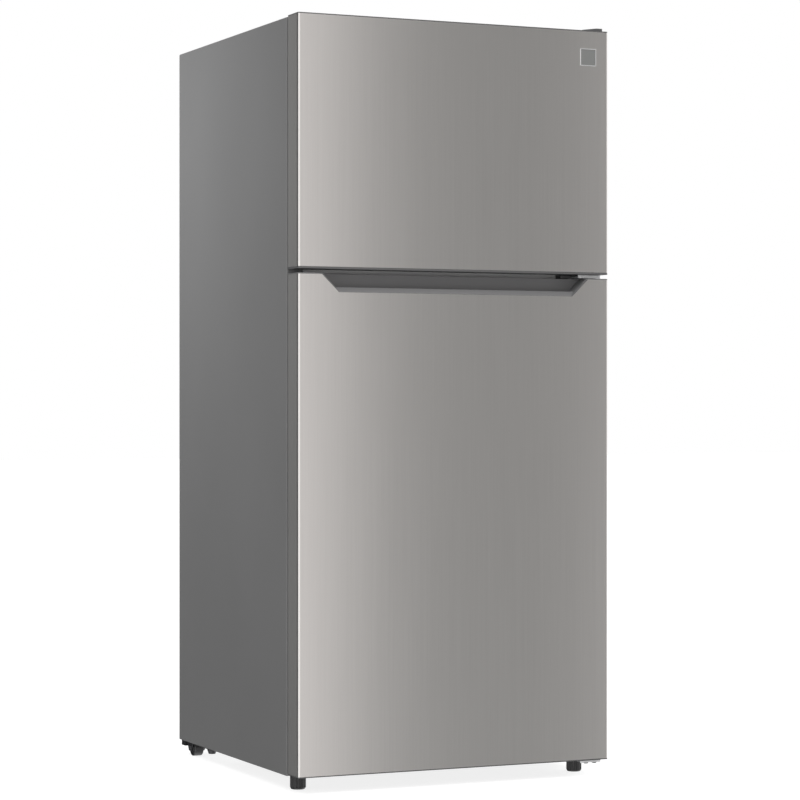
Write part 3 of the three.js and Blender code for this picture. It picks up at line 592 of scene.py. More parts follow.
class Mesher:
    """Collects the faces of one piece."""

    def __init__(self) -> None:
        """Starts with no faces."""
        self.mesh = bmesh.new()

    def absorb(self, part: bmesh.types.BMesh) -> "Mesher":
        """Adds a finished part to the piece and frees it.

        Args:
            part: the part.

        Returns:
            The mesher.
        """
        bmesh.ops.recalc_face_normals(part, faces=part.faces)
        held = bpy.data.meshes.new("part")
        part.to_mesh(held)
        part.free()
        self.mesh.from_mesh(held)
        bpy.data.meshes.remove(held)
        return self

    def block(
        self,
        lo: Iterable[float],
        hi: Iterable[float],
        bevel: float = 0.0,
        segments: int = 2,
    ) -> "Mesher":
        """Adds a block with rounded edges.

        Args:
            lo: its lowest corner.
            hi: its highest corner.
            bevel: the edges' radius.
            segments: pieces in each rounded edge.

        Returns:
            The mesher.
        """
        part = bmesh.new()
        lo, hi = Vector(lo), Vector(hi)
        bmesh.ops.create_cube(part, size=1.0)
        bmesh.ops.scale(part, vec=hi - lo, verts=part.verts)
        bmesh.ops.translate(part, vec=(lo + hi) / 2, verts=part.verts)
        self.round_edges(part, bevel, segments)
        return self.absorb(part)

    @staticmethod
    def round_edges(part: bmesh.types.BMesh, bevel: float, segments: int, angle: float = 0.5) -> None:
        """Rounds a part's sharp edges.

        Args:
            part: the part.
            bevel: the radius.
            segments: pieces in each rounded edge.
            angle: an edge is sharp if it turns by more than this, in radians.
        """
        if bevel <= 0:
            return
        sharp = [e for e in part.edges if len(e.link_faces) == 2 and e.calc_face_angle(0.0) > angle]
        bmesh.ops.bevel(
            part,
            geom=sharp,
            offset=bevel,
            offset_type="OFFSET",
            segments=segments,
            profile=0.5,
            affect="EDGES",
            clamp_overlap=True,
        )

    def loft(self, rings: Sequence[Sequence[Vector]], caps: tuple[bool, bool] = (True, True)) -> "Mesher":
        """Adds a skin over closed rings of equally many points.

        Args:
            rings: the rings, in order.
            caps: whether the first and the last ring are filled.

        Returns:
            The mesher.
        """
        part = bmesh.new()
        rows = [[part.verts.new(point) for point in ring] for ring in rings]
        for below, above in zip(rows, rows[1:]):
            for i in range(len(below)):
                j = (i + 1) % len(below)
                part.faces.new((below[i], below[j], above[j], above[i]))
        for row, wanted in zip((rows[0], rows[-1]), caps):
            if wanted:
                part.faces.new(row)
        return self.absorb(part)

    def stack(self, axis: Axis, rings: Sequence[tuple[Sequence[Flat], float]]) -> "Mesher":
        """Adds a closed skin over flat rings, each at its own depth along an axis."""
        return self.loft([[axis.put(u, v, depth) for u, v in ring] for ring, depth in rings])

    def prism(
        self,
        axis: Axis,
        outline: Sequence[Flat],
        ends: Flat,
        bevel: float = 0.0,
        segments: int = 2,
    ) -> "Mesher":
        """Adds an extruded outline with rounded edges.

        Args:
            axis: it is extruded along this axis.
            outline: its points.
            ends: the depths where it starts and ends.
            bevel: the edges' radius.
            segments: pieces in each rounded edge.

        Returns:
            The mesher.
        """
        part = bmesh.new()
        near, far = ([part.verts.new(axis.put(u, v, end)) for u, v in outline] for end in ends)
        part.faces.new(near)
        part.faces.new(list(reversed(far)))
        for i in range(len(outline)):
            j = (i + 1) % len(outline)
            part.faces.new((near[j], near[i], far[i], far[j]))
        bmesh.ops.recalc_face_normals(part, faces=part.faces)
        self.round_edges(part, bevel, segments)
        return self.absorb(part)

    def lathe(self, axis: Axis, centre: Flat, profile: Sequence[Flat], sides: int = 32) -> "Mesher":
        """Adds a turned shape.

        Args:
            axis: the axis that it is turned about.
            centre: that axis's place in the drawing.
            profile: (radius, depth) pairs; an end with no radius is closed.
            sides: round the shape.

        Returns:
            The mesher.
        """
        rings = [(circle(centre, max(radius, 1e-5), sides), depth) for radius, depth in profile]
        return self.stack(axis, rings)

    def collar(self, axis: Axis, centre: Flat, profile: Sequence[Flat], sides: int) -> "Mesher":
        """Adds a turned shape with a bore, whose profile is a loop.

        Args:
            axis: the axis that it is turned about.
            centre: that axis's place in the drawing.
            profile: (radius, depth) pairs round the section.
            sides: round the shape.

        Returns:
            The mesher.
        """
        rings = []
        for radius, depth in [*profile, profile[0]]:
            rings.append([axis.put(u, v, depth) for u, v in circle(centre, radius, sides)])
        return self.loft(rings, (False, False)).weld()

    def tube(self, path: Sequence[Point], radius: float, sides: int = 10, closed: bool = False) -> "Mesher":
        """Adds a round tube along a path.

        Args:
            path: the points of its middle line.
            radius: of the tube.
            sides: round the tube.
            closed: whether the path joins up.

        Returns:
            The mesher.
        """
        points = [Vector(point) for point in path]
        count = len(points)
        rings = []
        side = None
        for i, point in enumerate(points):
            before = points[i - 1] if closed or i else point
            after = points[(i + 1) % count] if closed or i < count - 1 else point
            along = (after - before).normalized()
            if side is None:
                side = along.orthogonal().normalized()
            side = (side - along * side.dot(along)).normalized()
            other = along.cross(side)
            turns = [2 * math.pi * k / sides for k in range(sides)]
            rings.append([point + (side * math.cos(t) + other * math.sin(t)) * radius for t in turns])
        if closed:
            return self.loft([*rings, rings[0]], (False, False)).weld()
        return self.loft(rings)

    def weld(self) -> "Mesher":
        """Joins vertices that share a place."""
        bmesh.ops.remove_doubles(self.mesh, verts=self.mesh.verts, dist=1e-6)
        return self

    def plate(
        self,
        axis: Axis,
        outline: Sequence[Flat],
        ends: Flat,
        holes: Iterable[Sequence[Flat]] = (),
        bevel: float = 0.0,
    ) -> "Mesher":
        """Adds a flat plate with holes and rounded edges.

        Args:
            axis: the plate's thickness lies along it.
            outline: the plate's edge.
            ends: the depths of its two faces.
            holes: outlines to leave open.
            bevel: the radius of every edge.

        Returns:
            The mesher.
        """
        curve = bpy.data.curves.new("plate", "CURVE")
        curve.dimensions = "2D"
        curve.fill_mode = "BOTH"
        curve.extrude = abs(ends[1] - ends[0]) / 2 - bevel
        curve.bevel_depth = bevel
        curve.bevel_resolution = 1
        curve.offset = -bevel
        for points in (outline, *holes):
            spline = curve.splines.new("POLY")
            spline.points.add(len(points) - 1)
            for point, (u, v) in zip(spline.points, points):
                point.co = (u, v, 0.0, 1.0)
            spline.use_cyclic_u = True
        holder = bpy.data.objects.new("plate", curve)
        filled = bpy.data.meshes.new_from_object(holder)
        part = bmesh.new()
        part.from_mesh(filled)
        bmesh.ops.remove_doubles(part, verts=part.verts, dist=1e-6)
        middle = Matrix.Translation((0, 0, sum(ends) / 2))
        bmesh.ops.transform(part, matrix=axis.value @ middle, verts=part.verts)
        bpy.data.objects.remove(holder)
        bpy.data.curves.remove(curve)
        bpy.data.meshes.remove(filled)
        return self.absorb(part)

    def cad(self, node: str, bevel: float, segments: int = 2) -> "Mesher":
        """Adds a CAD node's own shape with its edges rounded.

        Args:
            node: the node's name.
            bevel: the edges' radius.
            segments: pieces in each rounded edge.

        Returns:
            The mesher.
        """
        part = bmesh.new()
        part.from_mesh(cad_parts[node].data)
        bmesh.ops.remove_doubles(part, verts=part.verts, dist=1e-6)
        bmesh.ops.dissolve_limit(part, angle_limit=0.01, verts=part.verts, edges=part.edges)
        bmesh.ops.recalc_face_normals(part, faces=part.faces)
        self.round_edges(part, bevel, segments)
        return self.absorb(part)

    def screw(self, axis: Axis, at: Point, radius: float, out: float) -> "Mesher":
        """Adds a flanged hexagon screw head.

        Args:
            axis: the screw's own axis.
            at: the middle of the seat, across, up and deep.
            radius: of the flange.
            out: 1 if the head stands towards the axis, -1 if against it.

        Returns:
            The mesher.
        """
        u, v, w = at
        edge, crown, head = (w + out * radius * share for share in (0.2, 0.36, 1.0))
        flange = [(0, w), (radius, w), (radius, edge), (radius * 0.75, crown), (0, crown)]
        self.lathe(axis, (u, v), flange, 20)
        return self.prism(axis, circle((u, v), radius * 0.66, 6), tuple(sorted((edge, head))), radius * 0.08)

    def piece(
        self,
        name: str,
        finish: Finishes,
        body: str,
        replaces: Sequence[str] = (),
        smooth: float = 35.0,
    ) -> bpy.types.Object:
        """Makes the piece.

        Args:
            name: the object's name.
            finish: its finish.
            body: the CAD body that it rides on.
            replaces: CAD nodes that it stands for.
            smooth: edges that turn by less than this many degrees look round.

        Returns:
            The object.
        """
        data = bpy.data.meshes.new(name)
        self.mesh.to_mesh(data)
        self.mesh.free()
        data.materials.append(finish.value.material())
        data.polygons.foreach_set("use_smooth", [True] * len(data.polygons))
        data.set_sharp_from_angle(angle=math.radians(smooth))
        made = bpy.data.objects.new(name, data)
        bpy.context.scene.collection.objects.link(made)
        weighted = made.modifiers.new("even_normals", "WEIGHTED_NORMAL")
        weighted.keep_sharp = True
        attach(made, body)
        if replaces:
            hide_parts(*replaces)
        return made


def keep_node(node: str, finish: Finishes) -> None:
    """Dresses a CAD node that is shown as it is.

    Args:
        node: the node's name.
        finish: its finish.
    """
    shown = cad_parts[node]
    shown.data.materials.clear()
    shown.data.materials.append(finish.value.material())


def solidify(piece: bpy.types.Object, thickness: float, offset: float) -> None:
    """Gives a sheet its thickness, ahead of the even normals.

    Args:
        piece: the sheet.
        thickness: its thickness.
        offset: -1 grows it against its normals, 1 along them.
    """
    made = piece.modifiers.new("sheet", "SOLIDIFY")
    made.thickness = thickness
    made.offset = offset
    made.use_even_offset = True
    piece.modifiers.move(len(piece.modifiers) - 1, 0)


def inset(lo: Flat, hi: Flat, by: float) -> tuple[Flat, Flat]:
    """A rectangle's corners, moved in by a distance."""
    return (lo[0] + by, lo[1] + by), (hi[0] - by, hi[1] - by)


def fillet(radius: float, steps: int = 4) -> list[Flat]:
    """A quarter round's (distance in, distance along) pairs, from (0, 0) to (radius, radius)."""
    return [(radius * (1 - math.cos(t)), radius * math.sin(t)) for t in quarter(steps)]


@dataclass
class Tray:
    """An open moulded tray: bins, drawers and pans."""

    lo: Vector
    hi: Vector
    wall: float = 2.5 * MM
    corner: float = 14 * MM
    draft: float = 3 * MM
    rim: float = 2 * MM
    rim_height: float = 7 * MM
    round_foot: float = 4 * MM
    round_rim: float = 0.8 * MM

    def add_to(self, mesher: Mesher) -> Mesher:
        """Adds the tray: up the outside, over the rim and down the inside.

        Args:
            mesher: the piece that gets it.

        Returns:
            The mesher.
        """
        lo, hi = (self.lo.x, self.lo.y), (self.hi.x, self.hi.y)
        bottom, top = self.lo.z, self.hi.z
        rings: list[tuple[list[Flat], float]] = []

        def ring(by: float, height: float) -> None:
            """Adds one ring, moved in by a distance."""
            rings.append((rectangle(*inset(lo, hi, by), max(self.corner - by, 1 * MM)), height))

        base = self.rim + self.draft
        for across, rise in reversed(fillet(self.round_foot)):
            ring(base + across, bottom + self.round_foot - rise)
        ring(self.rim, top - self.rim_height)
        ring(0.0, top - self.rim_height + 0.5 * MM)
        ring(0.0, top - self.round_rim)
        ring(self.round_rim, top)
        ring(self.rim + self.wall - self.round_rim, top)
        ring(self.rim + self.wall, top - self.round_rim)
        for across, rise in fillet(self.round_foot):
            ring(base + self.wall + across, bottom + self.wall + self.round_foot - rise)
        return mesher.stack(Axis.Z, rings)


# ------------------------------------------------------------------ doors


@dataclass
class Door:
    """What both doors have: skin, side frame, end caps, liner, gasket and bins."""

    body: str
    edge: float = 4 * MM
    sheet: float = 1 * MM
    arc_steps: int = 8
    crest_round: float = 9 * MM
    liner_corner: float = 22 * MM
    rim_width: float = 32 * MM

    def node(self, part: str) -> str:
        """The CAD node of one of the door's parts."""
        return f"{self.body}_{part}"

    def skin_path(self, offset: float, extra: Sequence[float]) -> list[Flat]:
        """The skin's plan from the left return to the right.

        Args:
            offset: how far inside the outer face.
            extra: places across the front that need a point of their own.

        Returns:
            Its points.
        """
        lo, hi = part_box(self.node("skin"))
        radius = self.edge - offset
        turns = quarter(self.arc_steps)
        corner = [(self.edge - radius * math.cos(t), self.edge - radius * math.sin(t)) for t in turns]
        left = [(lo.x + offset, hi.y)] + [(lo.x + u, lo.y + v) for u, v in corner]
        right = [(-x, y) for x, y in reversed(left)]
        return left + [(x, lo.y + offset) for x in extra] + right

    def skin(self, top_at: Callable[[float], float], extra: Sequence[float]) -> None:
        """Builds the stainless front.

        Args:
            top_at: the height of the sheet's top edge at a place across the front.
            extra: places across the front that need a point of their own.
        """
        lo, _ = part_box(self.node("skin"))
        outer, inner = self.skin_path(0.0, extra), self.skin_path(self.sheet, extra)
        mesher = Mesher()
        part = bmesh.new()
        columns = []
        for (x, y), (u, v) in zip(outer, inner):
            top = top_at(x)
            places = ((x, y, lo.z), (x, y, top), (u, v, top), (u, v, lo.z))
            columns.append([part.verts.new(place) for place in places])
        for a, b in zip(columns, columns[1:]):
            for i in range(4):
                j = (i + 1) % 4
                part.faces.new((a[i], a[j], b[j], b[i]))
        part.faces.new(columns[0])
        part.faces.new(columns[-1])
        mesher.absorb(part)
        mesher.piece(f"{self.body}_front", Finishes.STAINLESS, self.body, [self.node("skin")])

    def frame(self) -> None:
        """Builds the painted sides and the flange round the back."""
        mesher = Mesher().cad(self.node("frame"), 0.25 * MM, 1)
        mesher.piece(f"{self.body}_sides", Finishes.DOOR_GREY, self.body, [self.node("frame")])

    def cap(self, end: str, finish: Finishes, bevel: float = 0.4 * MM) -> None:
        """Builds a moulded end cap.

        Args:
            end: "top" or "bottom".
            finish: its finish.
            bevel: the radius of its edges.
        """
        node = self.node(f"{end}_cap")
        Mesher().cad(node, bevel, 3).piece(f"{self.body}_{end}_moulding", finish, self.body, [node])

    def liner(self) -> None:
        """Builds the inner panel: a flat edge, then a rim with a round crest, and a recess inside it."""
        lo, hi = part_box(self.node("liner"))
        plate = ((lo.x, lo.z), (hi.x, hi.z))
        rim, width, top, draft = self.rim_box(), self.rim_width, self.crest_round, 2 * MM
        face, crest = lo.y + 2 * MM, hi.y
        rings: list[tuple[list[Flat], float]] = []

        def ring(box: tuple[Flat, Flat], by: float, depth: float, corner: float) -> None:
            """Adds one ring, moved in by a distance."""
            rings.append((rectangle(*inset(*box, by), corner), depth))

        ring(plate, 0.0, lo.y, 3 * MM)
        ring(plate, 0.0, face - 0.6 * MM, 3 * MM)
        ring(plate, 0.6 * MM, face, 3 * MM)
        for by, rise in ((-3.0, 0.0), (-0.8, 0.9), (0.0, 3.5)):
            ring(rim, by * MM, face + rise * MM, self.liner_corner)
        for across, rise in fillet(top):
            ring(rim, draft + across, crest - top + rise, self.liner_corner)
        for across, rise in reversed(fillet(top)):
            ring(rim, width - draft - across, crest - top + rise, self.liner_corner)
        for by, rise in ((0.0, 5.0), (1.4, 1.8), (5.0, 0.4)):
            ring(rim, width + by * MM, face + rise * MM, self.liner_corner)
        mesher = Mesher().stack(Axis.Y, rings)
        mesher.piece(f"{self.body}_inner_panel", Finishes.LINER_WHITE, self.body, [self.node("liner")], 50.0)

    def rim_box(self) -> tuple[Flat, Flat]:
        """The outer corners of the liner's rim, across and up."""
        raise NotImplementedError

    def gasket(self) -> None:
        """Builds the seal: a bellows between its dart in the door and the magnet's flat face.

        Its profile is millimetres in from the seal's edge and the share of its depth.
        """
        lo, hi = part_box(self.node("gasket"))
        outer = ((lo.x, lo.z), (hi.x, hi.z))
        depth = hi.y - lo.y
        profile = [
            (4, 0), (2.6, 0.1), (2.2, 0.26), (3.2, 0.38), (1.2, 0.5), (0.2, 0.66), (0, 0.86), (0.6, 1),
            (7, 1), (13, 1), (13.8, 0.86), (13.4, 0.68), (12, 0.52), (9, 0.4), (10.4, 0.26), (10, 0.1),
            (9, 0),
        ]
        rings = []
        for by, share in [*profile, profile[0]]:
            ring = rectangle(*inset(*outer, by * MM), max(16 - by, 2) * MM, 6)
            rings.append([Axis.Y.put(u, v, lo.y + depth * share) for u, v in ring])
        mesher = Mesher().loft(rings, (False, False)).weld()
        mesher.piece(f"{self.body}_seal", Finishes.SEAL, self.body, [self.node("gasket")], 60.0)

    def bin(self, node: str, rail: float) -> None:
        """Builds a door bin.

        Args:
            node: the CAD node that it stands for.
            rail: height of the clear band along its front, which is thicker.
        """
        lo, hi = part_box(node)
        mesher = Tray(lo, hi).add_to(Mesher())
        band, ends = hi.z - rail, 26 * MM
        for z in (band, band - 6 * MM):
            low, high = (lo.x + ends, hi.y - 4.2 * MM, z), (hi.x - ends, hi.y - 1.4 * MM, z + 2 * MM)
            mesher.block(low, high, 0.6 * MM)
        for x in (lo.x + 1 * MM, hi.x - 8 * MM):
            low, high = (x, lo.y + 0.2 * MM, lo.z + 18 * MM), (x + 7 * MM, lo.y + 3 * MM, hi.z - 12 * MM)
            mesher.block(low, high, 1 * MM)
        mesher.piece(f"{node}_moulding", Finishes.CLEAR_BIN, self.body, [node], 50.0)


@dataclass
class FreezerDoor(Door):
    """The upper door, with its badge."""

    body: str = "freezer_door"

    def rim_box(self) -> tuple[Flat, Flat]:
        """The rim stands inside the freezer's mouth."""
        return (-0.303, 1.160), (0.303, 1.597)

    def badge(self) -> None:
        """Builds the plain badge: a bright frame round a satin field."""
        lo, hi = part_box("badge")
        edge, gap = 1.3 * MM, 0.1 * MM
        outline = rectangle((lo.x, lo.z), (hi.x, hi.z), 1.5 * MM)
        window = rectangle((lo.x + edge, lo.z + edge), (hi.x - edge, hi.z - edge), 0.8 * MM)
        bezel = Mesher().plate(Axis.Y, outline, (lo.y, hi.y), [window], 0.25 * MM)
        bezel.piece("badge_frame", Finishes.ZINC, self.body, ["badge"])
        field_lo = (lo.x + edge + gap, lo.y + 0.5 * MM, lo.z + edge + gap)
        field_hi = (hi.x - edge - gap, hi.y, hi.z - edge - gap)
        Mesher().block(field_lo, field_hi, 0.1 * MM).piece("badge_field", Finishes.BADGE_GREY, self.body)

    def build(self) -> None:
        """Builds the door."""
        _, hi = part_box(self.node("skin"))
        self.skin(lambda x: hi.z, [])
        self.frame()
        self.cap("top", Finishes.DARK_TRIM)
        self.cap("bottom", Finishes.DARK_TRIM, 1.8 * MM)
        self.liner()
        self.gasket()
        self.badge()
        for node in ("freezer_door_lower_bin", "freezer_door_upper_bin"):
            self.bin(node, 12 * MM)
        keep_node(self.node("foam"), Finishes.FOAM)


@dataclass
class FridgeDoor(Door):
    """The lower door, with the pocket handle in its top."""

    body: str = "fridge_door"
    pocket_middle: float = 0.002
    pocket_top_half: float = 0.3224
    pocket_bottom_half: float = 0.283
    pocket_bottom: float = 1.0735
    dairy_tray: float = 60 * MM
    dairy_pin: Flat = (-0.308, 0.958)

    def rim_box(self) -> tuple[Flat, Flat]:
        """The rim stands inside the fridge's mouth."""
        return (-0.313, 0.105), (0.313, 1.075)

    def build(self) -> None:
        """Builds the door."""
        _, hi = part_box(self.node("skin"))
        wide, narrow = self.pocket_top_half, self.pocket_bottom_half

        def top_at(x: float) -> float:
            """The skin's top edge dips along the pocket.

            Args:
                x: a place across the front.

            Returns:
                The edge's height there.
            """
            slope = (wide - abs(x - self.pocket_middle)) / (wide - narrow)
            return hi.z + (self.pocket_bottom - hi.z) * min(max(slope, 0.0), 1.0)

        self.skin(top_at, [self.pocket_middle + across for across in (-wide, -narrow, narrow, wide)])
        self.frame()
        self.cap("top", Finishes.HANDLE_TRIM)
        self.cap("bottom", Finishes.DARK_TRIM)
        self.liner()
        self.gasket()
        self.bin("bottle_bin", 12 * MM)
        self.bin("gallon_bin", 14 * MM)
        self.dairy()
        keep_node(self.node("foam"), Finishes.FOAM)

    def dairy(self) -> None:
        """Builds the dairy bin and its cover."""
        lo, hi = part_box("dairy_bin")
        mesher = Mesher()
        tray_top, cheek = lo.z + self.dairy_tray, 2.5 * MM
        Tray(lo, Vector((hi.x, hi.y, tray_top))).add_to(mesher)
        outline = rectangle((lo.y + 0.2 * MM, tray_top - 8 * MM), (hi.y - 8 * MM, hi.z), 12 * MM)
        hole = circle(self.dairy_pin, 3.2 * MM, 20)
        for x in (lo.x, hi.x - cheek):
            mesher.plate(Axis.X, outline, (x, x + cheek), [hole], 0.5 * MM)
        mesher.piece("dairy_bin_moulding", Finishes.CLEAR_BIN, self.body, ["dairy_bin"], 50.0)
        cover = Mesher().cad("dairy_cover", 1.0 * MM, 2)
        cover.piece("dairy_cover_moulding", Finishes.CLEAR_BIN, "dairy_cover", ["dairy_cover"])


# ------------------------------------------------------------------ cabinet


@dataclass
class Cabinet:
    """The outer wrapper, the liners and the sheets that close the cabinet."""

    body: str = "cabinet"
    corner: float = 3 * MM
    bend: float = 2.2 * MM
    flange: float = 37 * MM
    mouth_round: float = 4 * MM
    liner_sheet: float = 1.8 * MM
    liner_corner: float = 16 * MM
    back_round: float = 12 * MM
    riser_slope: float = 3 * MM

    def wrapper(self) -> None:
        """Builds the bent sheet over both sides and the top, with its front flange."""
        lo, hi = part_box("outer_wrapper")
        steps = 4

        def arch(by: float) -> list[Flat]:
            """An open outline up the right, across the top and down the left.

            Args:
                by: how far in from the cabinet's outside.

            Returns:
                Its points.
            """
            radius = max(self.corner - by, 0.5 * MM)
            full = rectangle((lo.x + by, lo.z - 0.1), (hi.x - by, hi.z - by), radius, steps)
            upper = full[: 2 * (steps + 1)]
            return [(hi.x - by, lo.z), *upper, (lo.x + by, lo.z)]

        front, back = lo.y, hi.y
        profile = [(self.flange, front), (self.bend, front)]
        turns = quarter(5)[1:]
        profile += [(self.bend * (1 - math.sin(t)), front + self.bend * (1 - math.cos(t))) for t in turns]
        profile += [(0.0, back - 0.8 * MM), (0.3 * MM, back)]
        part = bmesh.new()
        rows = []
        for by, y in profile:
            rows.append([part.verts.new((u, y, v)) for u, v in arch(by)])
        for near, far in zip(rows, rows[1:]):
            for i in range(len(near) - 1):
                part.faces.new((near[i], near[i + 1], far[i + 1], far[i]))
        mesher = Mesher().absorb(part)
        piece = mesher.piece("cabinet_wrapper", Finishes.CABINET_GREY, self.body, ["outer_wrapper"])
        solidify(piece, 0.9 * MM, self.inward(piece))

    @staticmethod
    def inward(piece: bpy.types.Object) -> float:
        """Finds the way to the cabinet's middle.

        Args:
            piece: a sheet on the cabinet's outside.

        Returns:
            The solidify offset that grows the sheet towards the middle.
        """
        middle = Vector((0, 0, 0.85))
        face = max(piece.data.polygons, key=lambda polygon: polygon.area)
        return -1.0 if face.normal.dot(face.center - middle) > 0 else 1.0

    def liner(self, node: str, lo: Vector, hi: Vector, step: Flat | None) -> Mesher:
        """Shapes a compartment's liner.

        Args:
            node: the liner's CAD node.
            lo: the compartment's lowest corner.
            hi: its highest corner.
            step: where the floor rises, as (depth, height), if it does.

        Returns:
            The mesher.
        """
        box_lo, box_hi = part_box(node)
        turns = quarter(4)
        front = box_lo.y
        floor = step[1] if step else lo.z

        def bowl(out: float) -> list[tuple[list[Flat], float]]:
            """The liner's face from its flange to its back.

            Args:
                out: how far it is moved into the insulation.

            Returns:
                Its (ring, depth) pairs.
            """
            rings = [(rectangle((box_lo.x, box_lo.z), (box_hi.x, box_hi.z), 2 * MM), front + out)]

            def ring(by: float, y: float, sill: float) -> None:
                """Adds one ring, moved in by a distance, whose lower edge is at the sill."""
                low, high = inset((lo.x, sill), (hi.x, hi.z), by - out)
                rings.append((rectangle(low, high, max(self.liner_corner - by, 2 * MM)), y + out))

            for t in turns:
                ring(self.mouth_round * (math.sin(t) - 1), front + self.mouth_round * (1 - math.cos(t)), lo.z)
            if step:
                depth, height = step
                low_bend, high_bend = 10 * MM, 8 * MM
                for t in turns:
                    y = depth - self.riser_slope - low_bend * (1 - math.sin(t))
                    ring(0.0, y, lo.z + low_bend * (1 - math.cos(t)))
                for t in turns:
                    ring(0.0, depth + high_bend * (1 - math.cos(t)), height - high_bend * (1 - math.sin(t)))
            for across, rise in fillet(self.back_round):
                ring(across, hi.y - self.back_round + rise, floor)
            return rings

        return Mesher().stack(Axis.Y, bowl(0.0)[::-1] + bowl(self.liner_sheet))

    def fridge_liner(self) -> None:
        """Builds the fridge's liner with its shelf ribs and the air duct on its back."""
        lo, hi = Vector((-0.325, -0.310, 0.095)), Vector((0.325, 0.321, 1.085))
        step = (0.110, 0.275)
        liner = self.liner("fridge_liner", lo, hi, step)
        liner.piece("fridge_inner_liner", Finishes.LINER_WHITE, self.body, ["fridge_liner"], 50.0)
        self.ribs("fridge_shelf_ribs", hi.x, [0.285, 0.4, 0.52, 0.65, 0.78, 0.91], (-0.17, 0.29))
        self.duct()

    def duct(self) -> None:
        """Builds the cover of the air duct, with two pairs of slots above each shelf."""
        outline = rectangle((-0.075, 0.33), (0.075, 1.035), 10 * MM)
        half_width, half_height = 0.022, 2.5 * MM
        slots = []
        for z in (0.445, 0.585, 0.715, 0.845, 0.965):
            for x in (-0.034, 0.034):
                for v in (z - 6 * MM, z + 6 * MM):
                    low, high = (x - half_width, v - half_height), (x + half_width, v + half_height)
                    slots.append(slot_shape(low, high))
        duct = Mesher().plate(Axis.Y, outline, (0.309, 0.3205), slots, 1.5 * MM)
        duct.piece("air_duct_cover", Finishes.TRIM_WHITE, self.body)

    def ribs(self, name: str, wall: float, heights: Sequence[float], span: Flat) -> None:
        """Builds the moulded ribs that carry shelves.

        Args:
            name: the piece's name.
            wall: the distance from the middle to the side wall.
            heights: the shelves' undersides.
            span: where the ribs start and end.
        """
        mesher = Mesher()
        for z in heights:
            for side in (-1, 1):
                near, far = sorted((side * (wall - 8.5 * MM), side * (wall + 0.2 * MM)))
                mesher.block((near, span[0], z - 7.3 * MM), (far, span[1], z - 0.3 * MM), 1.6 * MM, 3)
        mesher.piece(name, Finishes.LINER_WHITE, self.body)

    def freezer_liner(self) -> None:
        """Builds the freezer's liner with its shelf ribs."""
        lo, hi = Vector((-0.315, -0.310, 1.150)), Vector((0.315, 0.316, 1.607))
        liner = self.liner("freezer_liner", lo, hi, None)
        liner.piece("freezer_inner_liner", Finishes.LINER_WHITE, self.body, ["freezer_liner"], 50.0)
        self.ribs("freezer_shelf_ribs", hi.x, [1.26, 1.372], (-0.19, 0.20))

    def sheets(self) -> None:
        """Builds the back, the base pan and the rail between the doors."""
        lo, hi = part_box("rear_panel")
        back = Mesher().block(lo, (hi.x, hi.y - 0.2 * MM, hi.z), 0.2 * MM, 1)
        for z in spread(5, lo.z + 0.18, hi.z - 0.18):
            outline = slot_shape((lo.x + 0.09, z - 9 * MM), (hi.x - 0.09, z + 9 * MM), 8)
            back.plate(Axis.Y, outline, (hi.y - 0.4 * MM, hi.y + 2.6 * MM), [], 1.6 * MM)
        for z in spread(7, lo.z + 0.03, hi.z - 0.03):
            for x in (lo.x + 12 * MM, hi.x - 12 * MM):
                back.screw(Axis.Y, (x, z, hi.y - 0.2 * MM), 5 * MM, 1)
        back.piece("back_panel", Finishes.GALVANISED, self.body, ["rear_panel"])
        pan = Mesher().cad("base_pan", 0.3 * MM, 1)
        pan.piece("base_pan_pressing", Finishes.CABINET_GREY, self.body, ["base_pan"])
        # The rail's lighter grey is painted light for the shadowed gap between the doors.
        rail = Mesher().cad("center_rail", 0.3 * MM, 1)
        rail.piece("rail_between_doors", Finishes.RAIL_GREY, self.body, ["center_rail"])
        keep_node("insulation", Finishes.FOAM)

    def build(self) -> None:
        """Builds the cabinet."""
        self.wrapper()
        self.sheets()
        self.fridge_liner()
        self.freezer_liner()


# ------------------------------------------------------------------ feet, rollers and hinges


